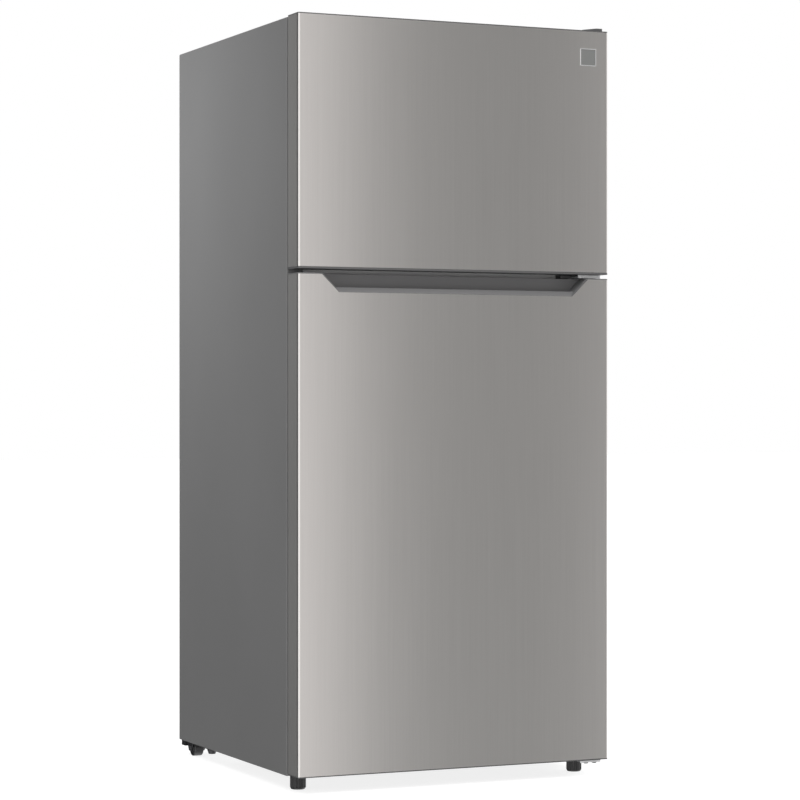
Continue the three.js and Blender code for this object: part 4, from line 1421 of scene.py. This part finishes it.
@dataclass
class Undercarriage:
    """Two levelling feet in front and two rollers behind."""

    ribs: int = 16
    rib_depth: float = 1.5 * MM

    def foot(self, side: str) -> None:
        """Builds one ribbed foot with its threaded stud.

        Args:
            side: "left" or "right".
        """
        node = f"front_foot_{side}"
        lo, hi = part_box(node)
        centre = ((lo.x + hi.x) / 2, (lo.y + hi.y) / 2)
        radius = (hi.x - lo.x) / 2

        def ribbed(outer: float, depth: float) -> list[Flat]:
            """A circle with ribs.

            Args:
                outer: its radius over the ribs.
                depth: how far the grooves between the ribs go in.

            Returns:
                Its points.
            """
            points = []
            for i in range(self.ribs * 4):
                here = outer - (depth if i % 4 in (2, 3) else 0.0)
                angle = 2 * math.pi * (i + (0.25 if i % 2 else 0.0)) / (self.ribs * 4)
                points.append((centre[0] + here * math.cos(angle), centre[1] + here * math.sin(angle)))
            return points

        shoulder = 29.4 * MM
        rings = [
            (ribbed(radius - 3.2 * MM, 0.0), 0.0),
            (ribbed(radius - 2.2 * MM, 0.0), 0.5 * MM),
            (ribbed(radius - 0.8 * MM, 0.0), 3.0 * MM),
            (ribbed(radius, 0.0), 4.4 * MM),
            (ribbed(radius, self.rib_depth), 5.2 * MM),
            (ribbed(radius, self.rib_depth), shoulder - 2.4 * MM),
            (ribbed(radius, 0.0), shoulder - 1.6 * MM),
            (ribbed(radius - 0.8 * MM, 0.0), shoulder),
        ]
        mesher = Mesher().stack(Axis.Z, rings)
        mesher.piece(f"levelling_foot_{side}", Finishes.FOOT_BLACK, node, [node])
        pitch, root, crest, turns = 1.5 * MM, 4.2 * MM, 5 * MM, 13
        profile = [(root, shoulder - 1 * MM)]
        for turn in range(turns):
            base = shoulder + turn * pitch
            profile += [(root, base), (crest, base + pitch / 2)]
        profile += [(root, shoulder + turns * pitch), (0.0, shoulder + turns * pitch + 0.6 * MM)]
        Mesher().lathe(Axis.Z, centre, profile, 20).piece(f"foot_stud_{side}", Finishes.ZINC, node)

    def roller(self, side: str) -> None:
        """Builds one roller and its bracket.

        Args:
            side: "left" or "right".
        """
        node = f"rear_roller_{side}"
        lo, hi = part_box(node)
        centre = ((lo.y + hi.y) / 2, (lo.z + hi.z) / 2)
        radius = (hi.z - lo.z) / 2
        bore, dish = 4.6 * MM, 3 * MM
        profile = [
            (bore, lo.x), (bore + 3 * MM, lo.x), (bore + 4 * MM, lo.x + dish), (radius - 4 * MM, lo.x + dish),
            (radius - 3.2 * MM, lo.x), (radius - 1 * MM, lo.x), (radius, lo.x + 1.4 * MM),
            (radius, hi.x - 1.4 * MM), (radius - 1 * MM, hi.x), (radius - 3.2 * MM, hi.x),
            (radius - 4 * MM, hi.x - dish), (bore + 4 * MM, hi.x - dish), (bore + 3 * MM, hi.x), (bore, hi.x),
        ]
        wheel = Mesher().collar(Axis.X, centre, profile, 40)
        wheel.piece(f"roller_{side}", Finishes.BLACK_MOULDING, node, [node])
        bracket = f"rear_roller_bracket_{side}"
        mesher = Mesher().cad(bracket, 0.5 * MM, 2)
        box_lo, box_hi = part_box(bracket)
        for x, out in ((box_lo.x, -1), (box_hi.x, 1)):
            rivet = [(0, x), (5.5 * MM, x), (4 * MM, x + out * 1.8 * MM), (0, x + out * 2.2 * MM)]
            mesher.lathe(Axis.X, centre, rivet, 20)
        mesher.piece(f"roller_bracket_{side}", Finishes.BLACK_ENAMEL, "cabinet", [bracket])

    def build(self) -> None:
        """Builds both sides."""
        for side in ("left", "right"):
            self.foot(side)
            self.roller(side)


@dataclass
class Hinges:
    """The three hinge plates, their pins' bushes and their covers."""

    body: str = "cabinet"
    pin: Flat = (0.357, -0.344)
    bush: float = 8.5 * MM
    bush_bore: float = 4.3 * MM

    def bushing(self, name: str, bottom: float, top: float) -> None:
        """Builds a nylon washer round a pin.

        Args:
            name: the piece's name.
            bottom: the height of its underside.
            top: the height of its top.
        """
        outer, inner, lip = self.bush, self.bush_bore, 0.5 * MM
        profile = [(inner, bottom), (outer, bottom), (outer, top - lip), (outer - lip, top), (inner, top)]
        washer = Mesher().collar(Axis.Z, self.pin, profile, 28)
        washer.piece(name, Finishes.BLACK_MOULDING, self.body)

    def build(self) -> None:
        """Builds the hinges."""
        top = Mesher().cad("top_hinge_bracket", 0.5 * MM, 2)
        top.piece("top_hinge_plate", Finishes.ZINC, self.body, ["top_hinge_bracket"])
        cover = Mesher().cad("top_hinge_cover", 1.0 * MM, 3)
        cover.piece("top_hinge_cap", Finishes.DARK_TRIM, self.body, ["top_hinge_cover"])
        middle = Mesher().cad("center_hinge_bracket", 0.5 * MM, 2)
        for x in (0.316, 0.338):
            middle.screw(Axis.Y, (x, 1.1245, -0.3123), 3.4 * MM, -1)
        middle.piece("centre_hinge_plate", Finishes.ZINC, self.body, ["center_hinge_bracket"])
        shim = Mesher().cad("center_hinge_cover", 1.5 * MM, 3)
        shim.piece("centre_hinge_cap", Finishes.BLACK_MOULDING, self.body, ["center_hinge_cover"])
        bottom = Mesher().cad("bottom_hinge_bracket", 0.5 * MM, 2)
        for y in (-0.258, -0.242):
            bottom.screw(Axis.Z, (0.326, y, 0.0297), 4.5 * MM, -1)
        bottom.piece("bottom_hinge_plate", Finishes.ZINC, self.body, ["bottom_hinge_bracket"])
        heads = Mesher()
        seat, edge, crown = 0.0299, 0.0258, 0.0248
        profile = [(0, seat), (5.4 * MM, seat), (5.4 * MM, edge), (4.4 * MM, crown), (0, crown)]
        for x in (0.336, self.pin[0]):
            heads.lathe(Axis.Z, (x, self.pin[1]), profile, 24)
        heads.piece("bottom_hinge_rivets", Finishes.BLACK_ENAMEL, self.body)
        self.bushing("centre_hinge_bush", 1.1202, 1.1231)
        self.bushing("bottom_hinge_bush", 0.0329, 0.0357)


# ------------------------------------------------------------------ machine compartment


@dataclass
class Machinery:
    """Compressor, condenser, drain pan, their tray and the vented cover."""

    body: str = "cabinet"

    def compressor(self) -> None:
        """Builds the welded shell, its feet, its terminal cover and its pipes."""
        lo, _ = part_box("compressor")
        x, y, floor = -0.190, 0.264, 0.044
        shape = [(0, 0), (66, 0), (74, 4), (78, 14), (78, 66), (80.5, 67), (80.5, 72), (78, 73), (78, 92)]
        shape += [(75, 108), (68, 124), (56, 138), (40, 148), (20, 154), (0, 156)]
        shell = Mesher().lathe(Axis.Z, (x, y), [(r * MM, floor + z * MM) for r, z in shape], 48)
        plate = rectangle((x - 0.1, y - 0.062), (x + 0.1, y + 0.062), 14 * MM)
        corners = [(x + u, y + v) for u in (-0.088, 0.088) for v in (-0.05, 0.05)]
        holes = [circle(corner, 5 * MM, 16) for corner in corners]
        shell.plate(Axis.Z, plate, (floor - 1 * MM, floor + 3 * MM), holes, 0.6 * MM)
        shell.piece("compressor_shell", Finishes.BLACK_ENAMEL, self.body, ["compressor"])
        grommets = Mesher()
        bolts = Mesher()
        spool = [(0, 0), (9, 0), (9, 6), (5, 7.6), (5, 11.6), (8, 12.2), (8, 14), (0, 14)]
        base = lo.z
        for corner in corners:
            grommets.lathe(Axis.Z, corner, [(r * MM, base + z * MM) for r, z in spool], 24)
            bolts.screw(Axis.Z, (*corner, base + 14 * MM), 6 * MM, 1)
        grommets.piece("compressor_grommets", Finishes.GROMMET, self.body)
        bolts.piece("compressor_bolts", Finishes.ZINC, self.body)
        low, high = (x + 0.072, y - 0.03, floor + 0.035), (x + 0.1, y + 0.03, floor + 0.095)
        box = Mesher().block(low, high, 3 * MM, 3)
        box.piece("terminal_cover", Finishes.BLACK_MOULDING, self.body)
        pipes = Mesher()
        for side, height in ((-1, 0.07), (0, 0.09), (1, 0.06)):
            start = Vector((x - 0.06 + 0.02 * side, y + 0.045 - 0.012 * abs(side), floor + height + 0.02))
            path = [start + Vector((-0.02 * t, 0.036 * t, 0.0)) for t in spread(4, 0, 1)]
            path += [path[-1] + Vector((0, 0.006, 0.03 * t)) for t in spread(4, 0.2, 1)]
            pipes.tube(path, 3 * MM)
        pipes.piece("compressor_pipes", Finishes.COPPER, self.body)

    def condenser(self) -> None:
        """Builds the folded condenser tube with its cross wires."""
        lo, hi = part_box("condenser_coil")
        passes, radius = 5, 3.2 * MM
        y = (lo.y + hi.y) / 2
        turn = (hi.z - lo.z - 8 * MM) / (passes - 1) / 2
        left, right = lo.x + turn + 4 * MM, hi.x - turn - 4 * MM
        path: list[Point] = []
        for i in range(passes):
            z = lo.z + 4 * MM + 2 * turn * i
            across = [left, right] if i % 2 == 0 else [right, left]
            path += [(across[0], y, z), (across[1], y, z)]
            if i < passes - 1:
                side = 1 if i % 2 == 0 else -1
                for step in range(1, 8):
                    angle = -math.pi / 2 + math.pi * step / 8
                    out, up = side * turn * math.cos(angle), turn * math.sin(angle)
                    path.append((across[1] + out, y, z + turn + up))
        mesher = Mesher().tube(path, radius, 12)
        for x in spread(16, left + 5 * MM, right - 5 * MM):
            for side in (-1, 1):
                wire = y + side * (radius + 0.8 * MM)
                mesher.tube([(x, wire, lo.z), (x, wire, hi.z)], 0.9 * MM, 6)
        mesher.piece("condenser", Finishes.BLACK_ENAMEL, self.body, ["condenser_coil"])

    def cover(self) -> None:
        """Builds the vented back cover with its gland and screws."""
        lo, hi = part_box("machine_cover")
        face = (lo.y, lo.y + 2 * MM)
        slots = []
        for row in range(5):
            for x in spread(14, lo.x + 0.07, hi.x - 0.07):
                z = lo.z + 0.092 + row * 0.019
                slots.append(slot_shape((x - 0.017, z), (x + 0.017, z + 7 * MM)))
        gland = (-0.3, 0.09)
        slots.append(circle(gland, 6 * MM, 20))
        outline = rectangle((lo.x, lo.z), (hi.x, hi.z), 6 * MM)
        cover = Mesher().plate(Axis.Y, outline, face, slots, 0.4 * MM)
        for x in (lo.x + 12 * MM, 0.0, hi.x - 12 * MM):
            for z in (lo.z + 10 * MM, hi.z - 8 * MM):
                cover.screw(Axis.Y, (x, z, face[1]), 4.5 * MM, 1)
        cover.piece("back_cover", Finishes.GALVANISED, self.body, ["machine_cover"])
        shape = [(5, 0), (13, 0), (13.5, 0.8), (13.5, 2), (10, 3), (8.5, 3.8), (5, 3.8)]
        bush = Mesher().collar(Axis.Y, gland, [(r * MM, face[1] + rise * MM) for r, rise in shape], 32)
        bush.piece("lead_gland", Finishes.BLACK_MOULDING, self.body)

    def build(self) -> None:
        """Builds the machinery."""
        self.compressor()
        self.condenser()
        pan = Tray(*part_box("drain_pan"), corner=18 * MM).add_to(Mesher())
        pan.piece("drip_pan", Finishes.BLACK_MOULDING, self.body, ["drain_pan"], 50.0)
        tray = Mesher().cad("compressor_tray", 0.4 * MM, 1)
        tray.piece("machine_tray", Finishes.GALVANISED, self.body, ["compressor_tray"])
        self.cover()


# ------------------------------------------------------------------ compartments


@dataclass
class FreezerFittings:
    """The wire shelf, the evaporator with its cover, and the fan."""

    body: str = "cabinet"
    wires: int = 29
    fan_height: float = 1.470
    blades: int = 4
    blade_tip: float = 55 * MM

    def shelf(self) -> None:
        """Builds the coated wire shelf."""
        lo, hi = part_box("freezer_shelf")
        rim, wire = 2.6 * MM, 1.6 * MM
        z = lo.z + rim
        corners = rectangle((lo.x + rim, lo.y + rim), (hi.x - rim, hi.y - rim), 18 * MM, 6)
        mesher = Mesher().tube([(x, y, z) for x, y in corners], rim, 12, closed=True)
        for x in spread(self.wires, lo.x + 0.02, hi.x - 0.02):
            mesher.tube([(x, lo.y + rim, z + 0.8 * MM), (x, hi.y - rim, z + 0.8 * MM)], wire, 8)
        for y in spread(4, lo.y + 0.08, hi.y - 0.08):
            mesher.tube([(lo.x + rim, y, z - 0.9 * MM), (hi.x - rim, y, z - 0.9 * MM)], wire, 8)
        mesher.piece("wire_shelf", Finishes.COATED_WIRE, self.body, ["freezer_shelf"])

    def cover(self) -> None:
        """Builds the panel over the evaporator with its air outlets and returns."""
        lo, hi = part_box("evaporator_cover")
        slots = []
        for i in range(7):
            z = self.fan_height - 0.048 + i * 0.014
            for x in (-0.062, 0.0, 0.062):
                slots.append(slot_shape((x - 0.028, z), (x + 0.028, z + 6.5 * MM)))
        for x in spread(16, lo.x + 0.035, hi.x - 0.035):
            slots.append(slot_shape((x - 0.0145, lo.z + 8 * MM), (x + 0.0145, lo.z + 15.5 * MM)))
        outline = rectangle((lo.x, lo.z), (hi.x, hi.z), 10 * MM)
        mesher = Mesher().plate(Axis.Y, outline, (lo.y, hi.y), slots, 0.7 * MM)
        bezel = rectangle((-0.108, 1.408), (0.108, 1.532), 14 * MM)
        window = rectangle((-0.1, 1.416), (0.1, 1.524), 10 * MM)
        mesher.plate(Axis.Y, bezel, (lo.y - 4 * MM, lo.y + 0.5 * MM), [window], 1.2 * MM)
        for x in (-0.24, 0.24):
            for z in (lo.z + 0.06, hi.z - 0.06):
                mesher.screw(Axis.Y, (x, z, lo.y), 4 * MM, -1)
        mesher.piece("evaporator_panel", Finishes.TRIM_WHITE, self.body, ["evaporator_cover"])

    def coil(self) -> None:
        """Builds the evaporator: thin fins on folded tubes."""
        lo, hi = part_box("evaporator_coil")
        mesher = Mesher()
        for x in spread(60, lo.x + 0.012, hi.x - 0.012):
            mesher.block((x - 0.25 * MM, lo.y, lo.z), (x + 0.25 * MM, hi.y, hi.z))
        for y in (lo.y + 0.015, hi.y - 0.015):
            for z in spread(6, lo.z + 0.014, hi.z - 0.014):
                mesher.tube([(lo.x, y, z), (hi.x, y, z)], 4 * MM, 10)
        mesher.piece("evaporator", Finishes.ALUMINIUM, self.body, ["evaporator_coil"])

    def fan(self) -> None:
        """Builds the motor in its shroud and the fan."""
        motor = Mesher().cad("fan_motor", 0.8 * MM, 2)
        motor.piece("fan_motor_housing", Finishes.BLACK_MOULDING, self.body, ["fan_motor"])
        lo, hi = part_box("fan_blade")
        bore, hub, dome = 3.7 * MM, 14 * MM, 2 * MM
        profile = [(bore, lo.y), (hub - dome, lo.y), (hub, lo.y + dome), (hub, hi.y), (bore, hi.y)]
        fan = Mesher().collar(Axis.Y, (0.0, self.fan_height), profile, 32)
        for blade in range(self.blades):
            start = blade * math.pi / 2
            radii = spread(5, hub - 1 * MM, self.blade_tip)
            fan.loft([self.blade_section(radius, start, (lo.y + hi.y) / 2) for radius in radii])
        fan.piece("fan", Finishes.TRIM_WHITE, "fan_blade", ["fan_blade"])

    def blade_section(self, radius: float, start: float, middle: float) -> list[Vector]:
        """A blade's section, cambered and twisted more near the hub.

        Args:
            radius: its distance from the fan's axis.
            start: the blade's angle round the axis.
            middle: the depth of the fan's middle.

        Returns:
            Its points.
        """
        twist = 0.75 - 0.4 * radius / self.blade_tip
        chord = 17 * MM + 0.16 * radius
        section = []
        for k in range(12):
            angle = 2 * math.pi * k / 12
            along, thick = chord * math.cos(angle), 0.9 * MM * math.sin(angle)
            camber = -3 * MM * (math.cos(angle) ** 2)
            across = along * math.cos(twist) - (thick + camber) * math.sin(twist)
            depth = along * math.sin(twist) + (thick + camber) * math.cos(twist)
            turned = start + across / max(radius, 0.02)
            u, v = radius * math.cos(turned), self.fan_height + radius * math.sin(turned)
            section.append(Axis.Y.put(u, v, middle + depth * 0.55))
        return section

    def build(self) -> None:
        """Builds the fittings."""
        self.shelf()
        self.cover()
        self.coil()
        self.fan()


@dataclass
class FridgeFittings:
    """The glass shelves, the crispers, the controls and the lamp."""

    body: str = "cabinet"
    trim_depth: float = 15 * MM
    grip_depth: float = 8 * MM

    def shelf(self, node: str) -> None:
        """Builds a glass shelf in its moulded frame.

        Args:
            node: the pane's CAD node.
        """
        lo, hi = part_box(node)
        edge = 2 * MM
        glass = rectangle((lo.x + edge, lo.y + edge), (hi.x - edge, hi.y - edge), 5 * MM)
        pane = Mesher().plate(Axis.Z, glass, (lo.z + 0.6 * MM, hi.z - 0.4 * MM), [], 0.5 * MM)
        pane.piece(f"{node}_glass", Finishes.SHELF_GLASS, self.body, [node])
        under, over = lo.z + 0.5 * MM, hi.z - 0.3 * MM
        nose, deep = lo.y - 1.5 * MM, lo.y + self.trim_depth
        front = [
            (nose, lo.z - 3.5 * MM), (lo.y + 4 * MM, lo.z - 5 * MM), (lo.y + 6 * MM, lo.z), (deep, lo.z),
            (deep, under), (lo.y + 3 * MM, under), (lo.y + 3 * MM, over), (deep, over),
            (deep, hi.z + 0.6 * MM), (lo.y + 6 * MM, hi.z + 2.2 * MM), (lo.y + 1 * MM, hi.z + 2.6 * MM),
            (nose, hi.z),
        ]
        span = (lo.x + edge, hi.x - edge)
        trim = Mesher().prism(Axis.X, front, span, 0.35 * MM)
        near, stop, fence = hi.y - 10 * MM, hi.y - 2.2 * MM, hi.z + 8 * MM
        back = [
            (near, lo.z), (hi.y, lo.z), (hi.y, fence), (stop, fence), (stop, hi.z + 1 * MM),
            (near, hi.z + 0.8 * MM), (near, over), (hi.y - 3 * MM, over),
            (hi.y - 3 * MM, under), (near, under),
        ]
        trim.prism(Axis.X, back, span, 0.3 * MM)
        width = 9 * MM
        for x in (lo.x, hi.x - width):
            low, high = (x, lo.y + edge, over), (x + width, hi.y - edge, hi.z + 1.2 * MM)
            trim.block(low, high, 0.5 * MM)
        trim.piece(f"{node}_trim", Finishes.TRIM_WHITE, self.body)

    def crisper(self, side: str) -> None:
        """Builds a crisper drawer with its grip, and the humidity slider on it.

        Args:
            side: "left" or "right".
        """
        node = f"crisper_{side}"
        lo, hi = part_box(node)
        front = lo.y + self.grip_depth
        tray = Tray(Vector((lo.x, front, lo.z)), hi, wall=3 * MM, corner=18 * MM, draft=2 * MM)
        mesher = tray.add_to(Mesher())
        profile = [
            (3, -8), (-6.5, -14), (-7.8, -18), (-7.8, -33), (-5.2, -33), (-5.2, -19), (3, -13),
        ]
        grip = [(front + y * MM, hi.z + z * MM) for y, z in profile]
        mesher.prism(Axis.X, grip, (lo.x + 0.055, hi.x - 0.055), 0.5 * MM)
        mesher.piece(f"crisper_drawer_{side}", Finishes.CLEAR_BIN, node, [node], 50.0)
        self.humidity(side, front)

    def humidity(self, side: str, front: float) -> None:
        """Builds a crisper's humidity slider and the track that it slides in.

        Args:
            side: "left" or "right".
            front: the depth of the crisper's front wall.
        """
        slider = f"humidity_slider_{side}"
        lo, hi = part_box(slider)
        knob = Mesher().block((lo.x, hi.y - 3.4 * MM, lo.z), hi, 0.8 * MM, 3)
        middle = (lo.x + hi.x) / 2
        for offset in (-4, -2, 0, 2, 4):
            x = middle + offset * MM
            low, high = (x - 0.6 * MM, lo.y, lo.z + 2 * MM), (x + 0.6 * MM, hi.y - 3 * MM, hi.z - 2 * MM)
            knob.block(low, high, 0.4 * MM)
        knob.piece(f"humidity_knob_{side}", Finishes.TRIM_WHITE, slider, [slider])
        outline = rectangle((middle - 0.045, lo.z - 5 * MM), (middle + 0.045, hi.z + 5 * MM), 4 * MM)
        window = rectangle((lo.x - 0.021, lo.z - 0.6 * MM), (hi.x + 0.021, hi.z + 0.6 * MM), 1 * MM)
        track = Mesher().plate(Axis.Y, outline, (front - 1.6 * MM, front + 2.2 * MM), [window], 0.5 * MM)
        track.piece(f"humidity_track_{side}", Finishes.TRIM_WHITE, f"crisper_{side}")

    def housing(self) -> None:
        """Builds the ceiling housing with its air grille, and the lamp's lens."""
        lo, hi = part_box("control_housing")
        housing = Mesher().cad("control_housing", 2.2 * MM, 3)
        for x in spread(7, 0.0, 0.09):
            low, high = (x, lo.y - 1.2 * MM, lo.z + 0.01), (x + 3 * MM, lo.y + 1 * MM, hi.z - 0.01)
            housing.block(low, high, 0.5 * MM)
        housing.piece("control_box", Finishes.TRIM_WHITE, self.body, ["control_housing"])
        lo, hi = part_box("light_lens")
        lens = Mesher().block(lo, hi, 0.6 * MM)
        edge = 5 * MM
        for y in spread(14, lo.y + 9 * MM, hi.y - 9 * MM):
            low, high = (lo.x + edge, y - 2 * MM, lo.z - 1.2 * MM), (hi.x - edge, y + 2 * MM, lo.z + 0.5 * MM)
            lens.block(low, high, 1 * MM)
        lens.piece("lamp_lens_moulding", Finishes.LENS, self.body, ["light_lens"])

    def dial(self) -> None:
        """Builds the temperature dial and the dots round it, which grow with the cold."""
        lo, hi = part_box("temperature_dial")
        centre = ((lo.x + hi.x) / 2, (lo.z + hi.z) / 2)
        face, half_width, half_height = -0.247, 3 * MM, 14 * MM
        knurl = []
        for i in range(72):
            radius = 17 * MM - (0.7 * MM if i % 4 in (2, 3) else 0.0)
            turn = i * math.pi / 36
            knurl.append((centre[0] + radius * math.cos(turn), centre[1] + radius * math.sin(turn)))
        dial = Mesher().prism(Axis.Y, knurl, (face, face + 6.2 * MM), 0.3 * MM, 1)
        low = (centre[0] - half_width, centre[1] - half_height)
        high = (centre[0] + half_width, centre[1] + half_height)
        dial.prism(Axis.Y, rectangle(low, high, half_width), (lo.y, face + 1 * MM), 1 * MM, 3)
        dial.lathe(Axis.Y, centre, [(4 * MM, face + 5 * MM), (4 * MM, hi.y), (0, hi.y)], 20)
        dial.piece("temperature_knob", Finishes.TRIM_WHITE, "temperature_dial", ["temperature_dial"])
        housing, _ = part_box("control_housing")
        marks = Mesher()
        for i in range(9):
            angle = math.radians(225 - i * 33.75)
            at = (centre[0] + 21 * MM * math.cos(angle), centre[1] + 18.6 * MM * math.sin(angle))
            dot = circle(at, (0.6 + 0.12 * i) * MM, 16)
            marks.prism(Axis.Y, dot, (housing.y - 0.4 * MM, housing.y + 0.3 * MM))
        marks.piece("dial_marks", Finishes.DARK_TRIM, self.body)

    def button(self) -> None:
        """Builds the light switch's button, domed at its front."""
        lo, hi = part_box("light_switch_button")
        centre = ((lo.x + hi.x) / 2, (lo.z + hi.z) / 2)
        radius = (hi.x - lo.x) / 2
        profile = [(0, lo.y), (radius * 0.6, lo.y + 0.3 * MM), (radius * 0.9, lo.y + 1.2 * MM)]
        profile += [(radius, lo.y + 2.6 * MM), (radius, hi.y), (0, hi.y)]
        button = Mesher().lathe(Axis.Y, centre, profile, 24)
        button.piece("switch_button", Finishes.TRIM_WHITE, "light_switch_button", ["light_switch_button"])

    def build(self) -> None:
        """Builds the fittings."""
        for node in ("upper_shelf", "lower_shelf", "crisper_cover"):
            self.shelf(node)
        for side in ("left", "right"):
            self.crisper(side)
        self.housing()
        self.dial()
        self.button()


# ------------------------------------------------------------------ studio


@dataclass(frozen=True)
class Softbox:
    """A soft light that the camera doesn't see."""

    name: str
    place: Point
    aim: Point
    size: Flat
    radiance: float
    colour: Colour = (1.0, 1.0, 1.0)
    mirrored: bool = True

    def build(self) -> None:
        """Hangs the light at its place, facing its aim."""
        data = bpy.data.lights.new(self.name, "AREA")
        data.shape = "RECTANGLE"
        data.size, data.size_y = self.size
        data.color = self.colour
        data.energy = self.radiance * math.pi * self.size[0] * self.size[1]
        made = bpy.data.objects.new(self.name, data)
        made.location = self.place
        made.rotation_euler = (Vector(self.aim) - Vector(self.place)).to_track_quat("-Z", "Y").to_euler()
        made.visible_camera = False
        made.visible_glossy = self.mirrored
        bpy.context.scene.collection.objects.link(made)


@dataclass
class Studio:
    """The camera, the lights, the surroundings and the floor."""

    eye: Point = (-2.5025, -5.6042, 0.8422)
    heading: float = math.radians(24.34)
    lens: float = 119.23
    sensor: float = 36.0
    floor_half: float = 30.0
    floor_tone: float = 0.28
    floor_glow: float = 0.8
    left_wall: float = 1.15
    front_wall: float = 0.5
    right_wall: float = 1.1
    rear_dip: float = 0.19
    all_walls: float = 0.228
    ceiling_light: float = 1.6
    ground_light: float = 0.16

    def camera(self) -> None:
        """Stands level at half height, in front and to the left."""
        data = bpy.data.cameras.new("camera")
        data.lens = self.lens
        data.sensor_width = self.sensor
        made = bpy.data.objects.new("camera", data)
        made.location = self.eye
        made.rotation_euler = (math.pi / 2, 0.0, -self.heading)
        bpy.context.scene.collection.objects.link(made)
        bpy.context.scene.camera = made

    def surroundings(self) -> None:
        """A white room whose walls, lit unevenly, show in the metal but not to the camera.

        The walls' ends are in degrees from straight ahead, towards the hinges.
        """
        world = bpy.data.worlds.new("studio")
        bpy.context.scene.world = world
        world.use_nodes = True
        tree = Tree(world.node_tree)
        where = tree.node("ShaderNodeTexCoord", output="Generated")
        x = tree.node("ShaderNodeSeparateXYZ", {}, {"Vector": where}, "X")
        y = tree.node("ShaderNodeSeparateXYZ", {}, {"Vector": where}, "Y")
        z = tree.node("ShaderNodeSeparateXYZ", {}, {"Vector": where}, "Z")
        azimuth = x.math("ARCTAN2", y * -1) * math.degrees(1)
        left = azimuth.band(-112, -98) * (1 - azimuth.band(-24, -16))
        front = azimuth.band(-24, -16) * (1 - azimuth.band(12, 22))
        right = azimuth.band(50, 62) * (1 - azimuth.band(140, 165))
        rear = 1 - azimuth.band(-142, -134)
        walls = left * self.left_wall + front * self.front_wall + right * self.right_wall
        walls = walls - rear * self.rear_dip + self.all_walls
        ceiling = z.band(0.55, 0.85)
        ground = (1 - z.band(-0.3, -0.02)) * (1 - rear)
        light = walls * (1 - ceiling) + ceiling * self.ceiling_light + ground * self.ground_light
        seen = tree.node("ShaderNodeLightPath", output="Is Camera Ray")
        strength = light * (1 - seen) + seen
        shown = tree.node("ShaderNodeBackground", {}, {"Color": (1, 1, 1, 1), "Strength": strength})
        output = tree.nodes.new("ShaderNodeOutputWorld")
        tree.plug(output.inputs["Surface"], shown)

    def floor(self) -> None:
        """A pale floor that the metal doesn't mirror."""
        half = self.floor_half
        data = bpy.data.meshes.new("floor")
        corners = [(-half, -half, 0), (half, -half, 0), (half, half, 0), (-half, half, 0)]
        data.from_pydata(corners, [], [(0, 1, 2, 3)])
        made = bpy.data.objects.new("floor", data)
        surface = Surface("pale_floor")
        cloud = surface.noise((0.7,) * 3, 2.0)
        tone = (self.floor_tone,) * 3
        surface.set(
            Base_Color=surface.tint(cloud, shade(tone, 0.995), tone),
            Roughness=0.9,
            Emission_Color=(1.0, 1.0, 1.0, 1.0),
            Emission_Strength=self.floor_glow,
        )
        data.materials.append(surface.material)
        bpy.context.scene.collection.objects.link(made)
        made.visible_glossy = False
        made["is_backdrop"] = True

    def build(self) -> None:
        """Builds the studio."""
        self.camera()
        self.surroundings()
        self.floor()
        warm = (1.0, 0.95, 0.945)
        Softbox("front_left", (-0.34, -1.6, 1.0), (-0.34, 0.0, 1.0), (1.12, 3.2), 0.75, warm).build()
        Softbox("front_right", (1.595, -1.6, 1.0), (1.595, 0.0, 1.0), (0.61, 3.2), 1.15, warm).build()
        Softbox("front_top", (0.1, -1.5, 2.9), (0.0, -0.38, 1.1), (1.0, 1.0), 6.0, mirrored=False).build()
        Softbox("left_rear", (-1.2, 0.45, 1.52), (0.0, 0.45, 1.5), (0.5, 0.5), 11.5, mirrored=False).build()


# ------------------------------------------------------------------ making it


def main() -> None:
    """Builds the refrigerator, one sub-assembly after another."""
    logging.basicConfig(level=logging.INFO)
    bpy.context.scene.view_settings.view_transform = "Standard"
    assemblies = [
        Studio(),
        Cabinet(),
        Undercarriage(),
        Hinges(),
        Machinery(),
        FreezerFittings(),
        FridgeFittings(),
        FreezerDoor(),
        FridgeDoor(),
    ]
    for assembly in assemblies:
        before = {shown.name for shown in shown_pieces()}
        assembly.build()
        for made in sorted({shown.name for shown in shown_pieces()} - before):
            LOG.info("%s: %s", type(assembly).__name__, made)


if __name__ == "__main__":
    main()
